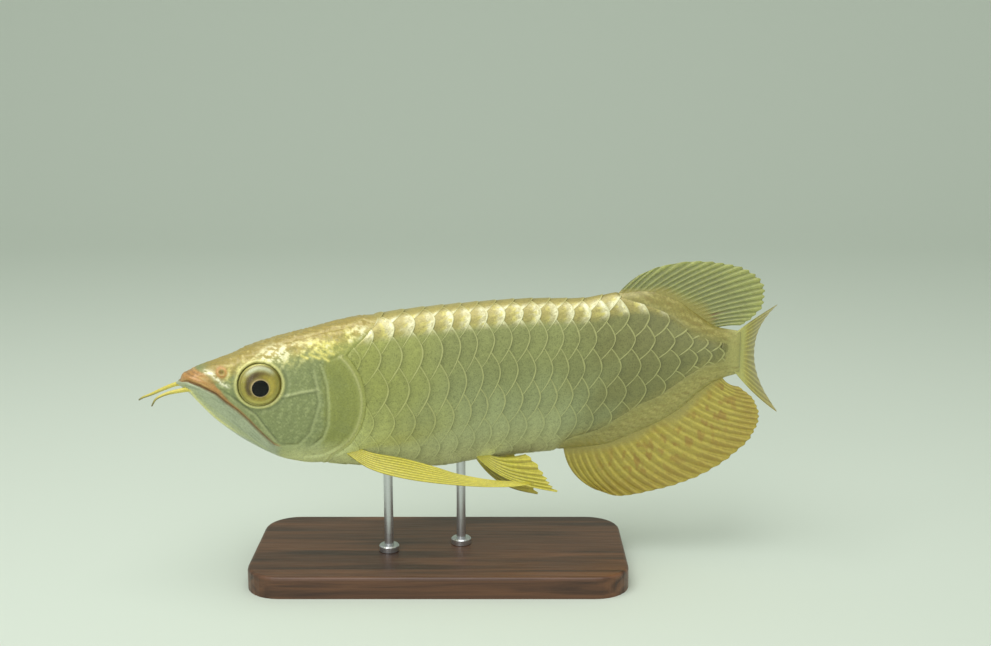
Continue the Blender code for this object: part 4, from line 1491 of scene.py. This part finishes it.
@dataclass
class Fin:
    """A membrane over raised, jointed rays that branch towards a scalloped margin."""

    name: str
    shape: Callable[[Points, Points], Points]
    slot: str
    rays: int
    membrane: Points
    ray_tone: Points
    base_tone: Points
    margin_tone: Points
    blotch: Points | None = None
    branch_from: float = 0.5
    notch: float = 0.025
    pleat: float = 0.35
    ray_height: float = 0.34
    film: float = 0.13
    columns_a_ray: int = 12
    rows: int = 64
    band: float = 0.16
    ray_bright: float = 0.75
    gap_dark: float = 0.25
    swell: float = 0.9
    front_pleat: float = 0.0
    spots: tuple[tuple[float, float, float, float], ...] = ()

    def crest(self, u: Points, v: Points) -> Points:
        """How much of a ray stands at a place, 1 on its ridge and 0 between rays."""
        phase = (u * self.rays) % 1 - 0.5
        split = 0.17 * ease(self.branch_from, 1.0, v)
        second = 0.08 * ease(min(self.branch_from + 0.3, 0.85), 1.0, v)
        width = 0.17 - 0.07 * ease(self.branch_from, 1.0, v)
        total = np.zeros_like(u)
        for first in (-1, 1):
            for small in (-1, 1):
                total = np.maximum(total, bell(phase - first * split - small * second, width))
        return total

    def build(self, finish: Gloss) -> bpy.types.Object:
        """Makes the fin.

        Args:
            finish: its finish.

        Returns:
            The fin object.
        """
        across = self.rays * self.columns_a_ray + 1
        u, v = np.meshgrid(np.linspace(0, 1, across), np.linspace(0, 1, self.rows), indexing="ij")
        phase = (u * self.rays) % 1 - 0.5
        trim = self.notch * (1 - np.cos(math.tau * phase)) / 2 * v**4
        jags = np.random.default_rng(len(self.name)).uniform(0, 1, self.rays + 1)
        jag = jags[np.clip((u * self.rays).astype(int), 0, self.rays)]
        out = v * (1 - trim - self.notch * 0.5 * jag * v**4)
        middle = self.shape(u, out)
        down = np.gradient(middle, axis=1)
        along = np.gradient(middle, axis=0)
        normal = np.cross(along, down)
        normal /= np.linalg.norm(normal, axis=-1, keepdims=True) + 1e-12
        crest = self.crest(u, v)
        edge = ease(0, 0.012, u) * ease(1, 0.988, u)
        lead = bell(u, 0.5 / self.rays) * 0.5
        rising = ease(0.0, self.band + 0.14, v)
        half = self.film + self.ray_height * np.maximum(crest, lead) * (1 - 0.6 * v) * rising
        half = half * (0.35 + 0.65 * edge) * (1 - 0.45 * ease(0.93, 1, v))
        half = half + self.swell * ease(0.24, 0.0, v) ** 1.5 * edge
        pleat = self.pleat * (1 + self.front_pleat * ease(0.45, 0.05, u))
        wave = pleat * np.cos(math.tau * phase) * ease(0.06, 0.42, v) * edge
        front = middle + normal * ((half + wave) * MM)[..., None]
        rear = middle - normal * ((half - wave) * MM)[..., None]
        steps = np.linalg.norm(np.diff(middle, axis=1), axis=-1)
        reach = np.concatenate([np.zeros((across, 1)), np.cumsum(steps, axis=1)], axis=1) / MM
        paint = self.colour(middle / MM, u, v, crest)
        points = np.concatenate([front.reshape(-1, 3), rear.reshape(-1, 3)])
        halves = [
            np.stack([start + 0.46 * u, 0.02 + 0.96 * v], axis=-1).reshape(-1, 2) for start in (0.02, 0.52)
        ]
        solid = np.maximum(crest, ease(self.band + 0.12, self.band - 0.04, v))
        piece = Piece(
            f"{self.name}_rays", self.slot, points, solid_quads(across, self.rows),
            np.tile(paint.reshape(-1, 3), (2, 1)),
            {"ray": np.tile(solid.ravel(), 2), "reach": np.tile(reach.ravel(), 2)},
            np.concatenate(halves),
        )
        return piece.build(finish.material(), (self.name,))

    def colour(self, place: Points, u: Points, v: Points, crest: Points) -> Points:
        """The fin's colours, from its fleshy root to its margin.

        Args:
            place: places in millimetres.
            u: share across the rays.
            v: share out along them.
            crest: how much ray stands there.

        Returns:
            Linear colours.
        """
        drift = 0.06 * ripples(place, 20, 51)
        film = np.broadcast_to(self.membrane, place.shape)
        paint = blend(film, self.margin_tone, ease(0.45, 0.95, v + drift))
        paint = blend(paint, self.ray_tone, self.ray_bright * crest * (1 - 0.4 * v))
        gap = 1 - ease(0.0, 0.45, crest)
        folded = 1 + 0.6 * ease(0.4, 0.05, u) * (self.front_pleat > 0)
        paint = paint * (1 - self.gap_dark * gap * folded)[..., None]
        paint = paint * (1 + 0.06 * ripples(place, 3.0, 63))[..., None]
        if self.blotch is not None:
            cloud = ease(0.1, 1.2, ripples(place, 9, 61) + 0.8 * ripples(place, 3.6, 62))
            paint = blend(paint, self.blotch, 0.6 * cloud * bell(v - 0.42, 0.30) * ease(0.05, 0.3, u))
        for spot_u, spot_v, reach_u, reach_v in self.spots:
            spot = bell(np.hypot((u - spot_u) / reach_u, (v - spot_v) / reach_v), 1.0)
            paint = blend(paint, PALETTE.fin_spot, 0.8 * spot)
        return blend(paint, self.base_tone, ease(self.band + 0.08, self.band - 0.10, v + drift * 0.5))


@dataclass
class Eye:
    """A dished gold iris round a black pupil under a clear bulging cornea."""

    form: FishForm
    side: Side
    along: float = 49.6
    height: float = 134.6
    ball_radius: float = 13.0
    rim_share: float = 0.54
    pupil_radius: float = 5.1
    iris_radius: float = 11.9
    pupil_drop: float = 1.8
    segments: int = 96

    def axes(self) -> tuple[Points, Points, Points, Points]:
        """The eye's centre in metres and its outward, upward and rearward directions."""
        turn = self.form.turn_at(np.array([self.along]), np.array([self.height]))
        place, out = self.form.skin(np.array([self.along]), turn * self.side.value)
        way = self.form.placed(place + out)[0] - self.form.placed(place)[0]
        way /= np.linalg.norm(way)
        up = np.array([0, 0, 1.0])
        up -= way * (up @ way)
        up /= np.linalg.norm(up)
        low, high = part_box(f"eye_{self.side.word}")
        deep = (np.array(low) + np.array(high)) / 2
        rearward = np.cross(way, up) * -self.side.value
        return deep, way, up, rearward

    def dome(self, radius: Points, rise: float, rim: float) -> Points:
        """A round dome's height over its radius, rise at the middle and rim at the ball's edge."""
        share = np.clip(radius / self.ball_radius, 0, 1)
        return rim + (rise - rim) * np.sqrt(np.clip(1 - share**2.3, 0, 1))

    def place(self, radius: Points, angle: Points, lift: Points, drop: Points) -> Points:
        """Points in metres from polar places on the eye."""
        deep, way, up, rearward = self.axes()
        first = radius * np.cos(angle)
        second = radius * np.sin(angle) - drop
        return deep + (rearward * first[..., None] + up * second[..., None] + way * lift[..., None]) * MM

    def colour(self, radius: Points, angle: Points) -> Points:
        """The iris's rings, from the pale ring by the pupil out to the pale gold edge, with a painted shadow
        crescent on the front and upper side and a painted highlight along the top.

        Args:
            radius: distance from the eye's middle.
            angle: 0 towards the tail and a quarter turn upwards.

        Returns:
            Linear colours.
        """
        high, rear = np.sin(angle), np.cos(angle)
        place = np.stack([radius * rear, radius * high, 0 * radius], axis=-1)
        streak = ripples(np.stack([rear * 9, high * 9, radius * 0.3], axis=-1), 2.2, 71)
        # painted shadow: a dark crescent on the front and upper side, where the rim shades the dished iris
        iris_shadow = ease(0.55, -0.35, rear) * ease(-1.05, -0.4, high) * bell(radius - 7.4, 1.9)
        paint = np.broadcast_to(tone(176, 156, 58), radius.shape + (3,)).copy()
        paint = blend(paint, tone(208, 190, 78), 0.5 + 0.4 * streak)
        paint = blend(paint, tone(88, 66, 30), 0.9 * iris_shadow)
        # painted shadow: the same crescent's arc over the top of the iris
        paint = blend(paint, tone(112, 86, 36), 0.7 * ease(0.3, 0.9, high) * bell(radius - 8.2, 1.0))
        paint = blend(paint, tone(232, 214, 96), 0.8 * ease(0.2, 0.9, rear) * bell(radius - 7.0, 1.6))
        paint = blend(paint, tone(190, 178, 76), ease(8.8, 10.0, radius))
        # painted highlight: a bright crescent along the top of the iris that stands for the cornea's reflection
        paint = blend(paint, tone(246, 250, 214), 0.9 * ease(0.45, 0.95, high) * bell(radius - 10.6, 1.3))
        paint = blend(paint, tone(228, 220, 120), 0.6 * ease(-0.5, -0.95, high) * bell(radius - 10.8, 1.0))
        paint = blend(paint, tone(128, 112, 48), 0.6 * bell(radius - self.iris_radius, 0.4))
        outside = ease(self.iris_radius + 0.2, self.iris_radius + 0.9, radius)
        paint = blend(paint, tone(200, 196, 116), outside)
        paint = paint * (1 + 0.06 * ripples(place, 1.4, 72))[..., None]
        return blend(paint, tone(226, 200, 150), 0.9 * bell(radius - self.pupil_radius - 0.3, 0.4))

    def build(self, iris_finish: Gloss, pupil_finish: Gloss, cornea_finish: Cornea) -> None:
        """Makes the eyeball, its pupil and its cornea.

        Args:
            iris_finish: finish of the painted eyeball.
            pupil_finish: the dull black of the pupil.
            cornea_finish: the clear film.
        """
        low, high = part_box(f"eye_{self.side.word}")
        depth = self.ball_depth(np.array(low), np.array(high))
        circle = np.linspace(0, math.tau, self.segments, endpoint=False)
        radii = np.concatenate([
            np.linspace(0.4, self.pupil_radius - 0.5, 6),
            np.linspace(self.pupil_radius - 0.25, self.pupil_radius + 0.8, 7),
            np.linspace(self.pupil_radius + 1.1, self.ball_radius, 22),
        ])
        radius, angle = np.meshgrid(radii, circle, indexing="ij")
        rim = depth * self.rim_share
        dish = self.dome(radius, depth - 1.0, rim) - 0.5 * bell(radius - 7.6, 2.0)
        dish = dish - 0.08 * bell(radius - self.iris_radius, 0.3)
        drop = self.pupil_drop * ease(11.2, 4.5, radius)
        front = self.place(radius, angle, dish, drop)
        back_radius, back_angle = np.meshgrid(np.array([9.5, 4.0]), circle, indexing="ij")
        rear = self.place(back_radius, back_angle, back_radius * 0 - 2.0, 0 * back_radius)
        points = np.concatenate([front, rear])
        paint = np.concatenate([self.colour(radius, angle), np.zeros(rear.shape) + 0.05])
        ball = tube(f"eyeball_{self.side.word}", "eye", points, paint)
        ball.build(iris_finish.material(), (f"eye_{self.side.word}",))
        radius, angle = np.meshgrid(np.linspace(0.3, self.pupil_radius, 9), circle, indexing="ij")
        raised = self.dome(radius, depth - 0.82, rim) - 0.5 * bell(radius - 7.6, 2.0)
        sunk = self.dome(radius[::-1], depth - 1.5, rim)
        pupil = np.concatenate([
            self.place(radius, angle, raised, self.pupil_drop + 0 * radius),
            self.place(radius[::-1], angle, sunk, self.pupil_drop + 0 * radius),
        ])
        black = tube(f"pupil_{self.side.word}", "eye", pupil, np.zeros(pupil.shape) + 0.002)
        black.build(pupil_finish.material())
        radius, angle = np.meshgrid(np.linspace(0.3, self.ball_radius - 0.1, 26), circle, indexing="ij")
        film = self.place(radius, angle, self.dome(radius, depth, rim + 0.15), 0 * radius)
        under = self.place(radius[::-1], angle, self.dome(radius[::-1], depth - 2.2, rim - 1.0), 0 * radius)
        points = np.concatenate([film, under])
        clear = tube(f"cornea_{self.side.word}", "eye", points, np.ones(points.shape))
        clear.build(cornea_finish.material())

    def ball_depth(self, low: Points, high: Points) -> float:
        """The solid eye's half depth along its outward axis, in millimetres."""
        points = np.array([vertex.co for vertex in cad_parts[f"eye_{self.side.word}"].data.vertices])
        _, way, _, _ = self.axes()
        return float(((points - (low + high) / 2) @ way).max() / MM)


@dataclass
class Barbel:
    """A tapering ringed feeler at the tip of the jaw."""

    form: FishForm
    side: Side
    root_radius: float = 1.75
    tip_radius: float = 0.42
    left: Table = (
        (10, 5.2, 133.0), (8, 5.4, 132.6), (4, 5.8, 132.2), (-1.5, 5.8, 131.5), (-6.5, 6.2, 130.3),
        (-10.8, 7, 128.4), (-13.6, 8.1, 124.4),
    )
    right: Table = (
        (9, -2.4, 134.8), (7, -2.6, 134.6), (2.5, -3.2, 134.2), (-5.7, -5.1, 131.2), (-12.4, -7.3, 128),
        (-17.7, -9.1, 125.8), (-20, -9.8, 124.2),
    )
    rings: int = 110
    sides: int = 20

    def build(self, finish: Gloss) -> bpy.types.Object:
        """Makes the feeler.

        Args:
            finish: its finish.

        Returns:
            The feeler object.
        """
        share = np.linspace(0, 1, self.rings)
        knots = curve(self.left if self.side is Side.LEFT else self.right, share)
        line = self.form.placed(knots)
        ahead = np.gradient(line, axis=0)
        ahead /= np.linalg.norm(ahead, axis=1, keepdims=True)
        across = np.cross(ahead, (0, 0, 1.0))
        across /= np.linalg.norm(across, axis=1, keepdims=True)
        up = np.cross(across, ahead)
        radius = self.root_radius + (self.tip_radius - self.root_radius) * share**1.1
        radius = radius * (1 + 0.05 * np.sin(share * 150)) * np.sqrt(np.clip((1.004 - share) * 60, 0.05, 1))
        radius = radius * (1 + 0.35 * bell(share, 0.12))
        angle = np.linspace(0, math.tau, self.sides, endpoint=False)
        spoke = across[:, None] * np.cos(angle)[None, :, None] + up[:, None] * np.sin(angle)[None, :, None]
        points = line[:, None] + spoke * (radius * MM)[:, None, None]
        paint = np.broadcast_to(tone(208, 194, 84), points.shape).copy()
        # painted shade: darker on the underside towards the tip; the real dark tip joins it below
        dusk = ease(0.35, 0.9, share)[:, None] * ease(0.7, -0.6, np.sin(angle))[None, :]
        dark_tip_and_shade = np.maximum(dusk, ease(0.72, 1.0, share)[:, None])
        paint = blend(paint, tone(88, 88, 62), 0.9 * dark_tip_and_shade)
        paint = blend(paint, tone(228, 212, 92), 0.6 * ease(0.4, 0.0, share)[:, None] + 0 * dusk)
        piece = tube(f"feeler_{self.side.word}", "barbel", points, paint)
        return piece.build(finish.material(), (f"barbel_{self.side.word}",))


@dataclass
class Stand:
    """The base and rods, kept as the solids are, with finished surfaces."""

    wood: OiledWood = field(default_factory=OiledWood)
    steel: BrushedSteel = field(default_factory=BrushedSteel)

    def dress(self) -> None:
        """Gives each stand node its finish."""
        wood, steel = self.wood.material(), self.steel.material()
        for name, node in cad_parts.items():
            if name.startswith("stand_"):
                node.data.materials.clear()
                node.data.materials.append(wood if name == "stand_base" else steel)
                node.data.set_sharp_from_angle(angle=math.radians(35))
                log.info("%s: dressed", name)


@dataclass
class Studio:
    """Pale floor with a curved-up back, soft overhead light and the camera."""

    floor_half_width: float = 4.0
    floor_front: float = -3.0
    floor_back: float = 2.6
    wall_height: float = 3.2
    bend_radius: float = 1.2
    camera_place: tuple[float, float, float] = (0.036075, -0.825011, 0.334896)
    camera_pitch: float = 11.8
    camera_lens: float = 48.42
    world_strength: float = 0.62
    key_power: float = 11.0
    fill_power: float = 8.0

    def floor(self) -> None:
        """Makes the floor, swept up into a backdrop."""
        bend = np.linspace(0, math.pi / 2, 14)
        start, radius, half = self.floor_back - self.bend_radius, self.bend_radius, self.floor_half_width
        profile = [(self.floor_front, 0.0), (start, 0.0)]
        profile += [(start + radius * math.sin(a), radius * (1 - math.cos(a))) for a in bend[1:]]
        profile.append((self.floor_back, self.wall_height))
        points = np.array([[(x, y, z) for x in (-half, half)] for y, z in profile])
        mesh = bpy.data.meshes.new("studio_floor")
        mesh.from_pydata(points.reshape(-1, 3).tolist(), [], grid_quads(len(profile), 2)[:, ::-1].tolist())
        mesh.shade_smooth()
        made = bpy.data.objects.new("studio_floor", mesh)
        bpy.context.scene.collection.objects.link(made)
        material = bpy.data.materials.new("pale_floor")
        material.use_nodes = True
        shader = material.node_tree.nodes["Principled BSDF"]
        shader.inputs["Base Color"].default_value = (0.64, 0.70, 0.61, 1)
        shader.inputs["Roughness"].default_value = 0.75
        mesh.materials.append(material)

    def lamp(self, name: str, place: tuple[float, float, float], size: float, power: float) -> None:
        """Hangs one soft square lamp that faces the fish.

        Args:
            name: the lamp's name.
            place: where it hangs.
            size: its side in metres.
            power: its power in watts.
        """
        light = bpy.data.lights.new(name, "AREA")
        light.shape = "SQUARE"
        light.size = size
        light.energy = power
        made = bpy.data.objects.new(name, light)
        made.location = place
        aim = Vector((0.02, 0, 0.13)) - Vector(place)
        made.rotation_euler = aim.to_track_quat("-Z", "Y").to_euler()
        bpy.context.scene.collection.objects.link(made)

    def build(self) -> None:
        """Sets up floor, light and camera."""
        self.floor()
        self.lamp("overhead", (-0.15, -0.35, 1.25), 1.1, self.key_power)
        self.lamp("front_fill", (-0.5, -1.7, 0.45), 1.4, self.fill_power)
        world = bpy.data.worlds.new("studio")
        world.use_nodes = True
        sky = world.node_tree.nodes["Background"]
        sky.inputs["Color"].default_value = (0.90, 0.96, 0.90, 1)
        sky.inputs["Strength"].default_value = self.world_strength
        bpy.context.scene.world = world
        bpy.context.scene.view_settings.view_transform = "Standard"
        lens = bpy.data.cameras.new("camera")
        lens.lens = self.camera_lens
        lens.sensor_width = 36.0
        lens.clip_start = 0.02
        made = bpy.data.objects.new("camera", lens)
        made.location = self.camera_place
        made.rotation_euler = (math.radians(90 - self.camera_pitch), 0, 0)
        bpy.context.scene.collection.objects.link(made)
        bpy.context.scene.camera = made
        log.info("studio: floor, two lamps and camera")


@dataclass
class Arowana:
    """The whole fish, built from its form and markings."""

    form: FishForm = field(default_factory=FishForm)

    def fins(self) -> list[tuple[Fin, Gloss]]:
        """Every fin with its finish."""
        rear_fins = {"roughness": 0.42, "coat": 0.2, "ray_joints": 1.3, "bump": 0.3}
        thin = Gloss("golden_membrane", subsurface=0.25, alpha_low=0.86, **rear_fins)
        veil = Gloss("olive_membrane", subsurface=0.2, alpha_low=0.74, **rear_fins)
        bright = Gloss(
            "yellow_membrane", 0.38, coat=0.3, subsurface=0.3, alpha_low=0.92, ray_joints=1.6, bump=0.2
        )
        listed = [
            (Fin(
                "dorsal_fin", DorsalShape(self.form), "fin", 20, tone(130, 136, 72), tone(184, 186, 124),
                tone(146, 138, 70), tone(148, 154, 80), branch_from=0.45, notch=0.03, band=0.17, gap_dark=0.14,
                ray_height=0.24, ray_bright=0.55, pleat=0.22,
                spots=((0.80, 0.20, 0.012, 0.16), (0.86, 0.16, 0.014, 0.12)),
            ), veil),
            (Fin(
                "anal_fin", AnalShape(self.form), "fin", ANAL_RAYS, tone(176, 160, 60), tone(208, 198, 106),
                tone(164, 154, 82), tone(158, 136, 40), blotch=tone(142, 98, 28), branch_from=0.5, notch=0.018,
                band=0.17, gap_dark=0.12, pleat=0.15, front_pleat=2.4, ray_height=0.22, ray_bright=0.5,
            ), thin),
            (Fin(
                "caudal_fin", CaudalShape(self.form), "fin", 16, tone(184, 172, 84), tone(212, 206, 122),
                tone(182, 180, 106), tone(184, 164, 74), branch_from=0.4, notch=0.04, band=0.30, pleat=0.22,
                swell=1.6, ray_bright=0.55, gap_dark=0.20,
            ), thin),
        ]
        for side in Side:
            listed.append((Fin(
                f"pectoral_fin_{side.word}", PectoralShape(self.form, side), "paired_fin", 8,
                tone(192, 180, 40), tone(232, 224, 112), tone(186, 178, 60), tone(214, 200, 56),
                branch_from=0.85, notch=0.01, pleat=0.18, rows=110, band=0.08, gap_dark=0.24,
            ), bright))
            lively = side is Side.LEFT
            listed.append((Fin(
                f"pelvic_fin_{side.word}", PelvicShape(self.form, side), "paired_fin", 7,
                tone(190, 180, 44) if lively else tone(150, 142, 54),
                tone(226, 216, 92) if lively else tone(182, 172, 80),
                tone(188, 180, 66), tone(182, 168, 58), branch_from=0.35, notch=0.035, pleat=0.24,
                ray_height=0.32, columns_a_ray=20, gap_dark=0.24,
            ), bright))
        return listed

    def build(self) -> None:
        """Makes every piece of the fish."""
        marks = Markings(self.form)
        skin = Gloss("arowana_skin", 0.38, metallic=0.10, coat=0.3, mottle=0.10, speckle=0.16, subsurface=0.06)
        plate = Gloss("scale_plate", 0.38, metallic=0.2, coat=0.3, mottle=0.08, speckle=0.26, mottle_size=420.0)
        rim = Gloss("scale_rim", 0.38, metallic=0.15, coat=0.25, mottle=0.08, bump=0.1)
        iris = Gloss("gold_iris", 0.35, metallic=0.2, coat=0.0, mottle=0.05, bump=0.05)
        black = Gloss("pupil_black", 0.6, coat=0.0, specular=0.05, mottle=0.0, bump=0.0)
        feeler = Gloss("feeler_skin", 0.4, coat=0.3, subsurface=0.15, bump=0.15)
        Skin(self.form, marks).build(skin)
        ScaleCoat(self.form, marks).build(plate, rim)
        for fin, finish in self.fins():
            fin.build(finish)
        for side in Side:
            Eye(self.form, side).build(iris, black, Cornea())
            Barbel(self.form, side).build(feeler)


def main() -> None:
    """Builds the fish, its stand and the studio."""
    logging.basicConfig(level=logging.INFO, format="%(message)s")
    Studio().build()
    Arowana().build()
    Stand().dress()
    bpy.context.view_layer.update()
    log.info("sizes written")


if __name__ == "__main__":
    main()
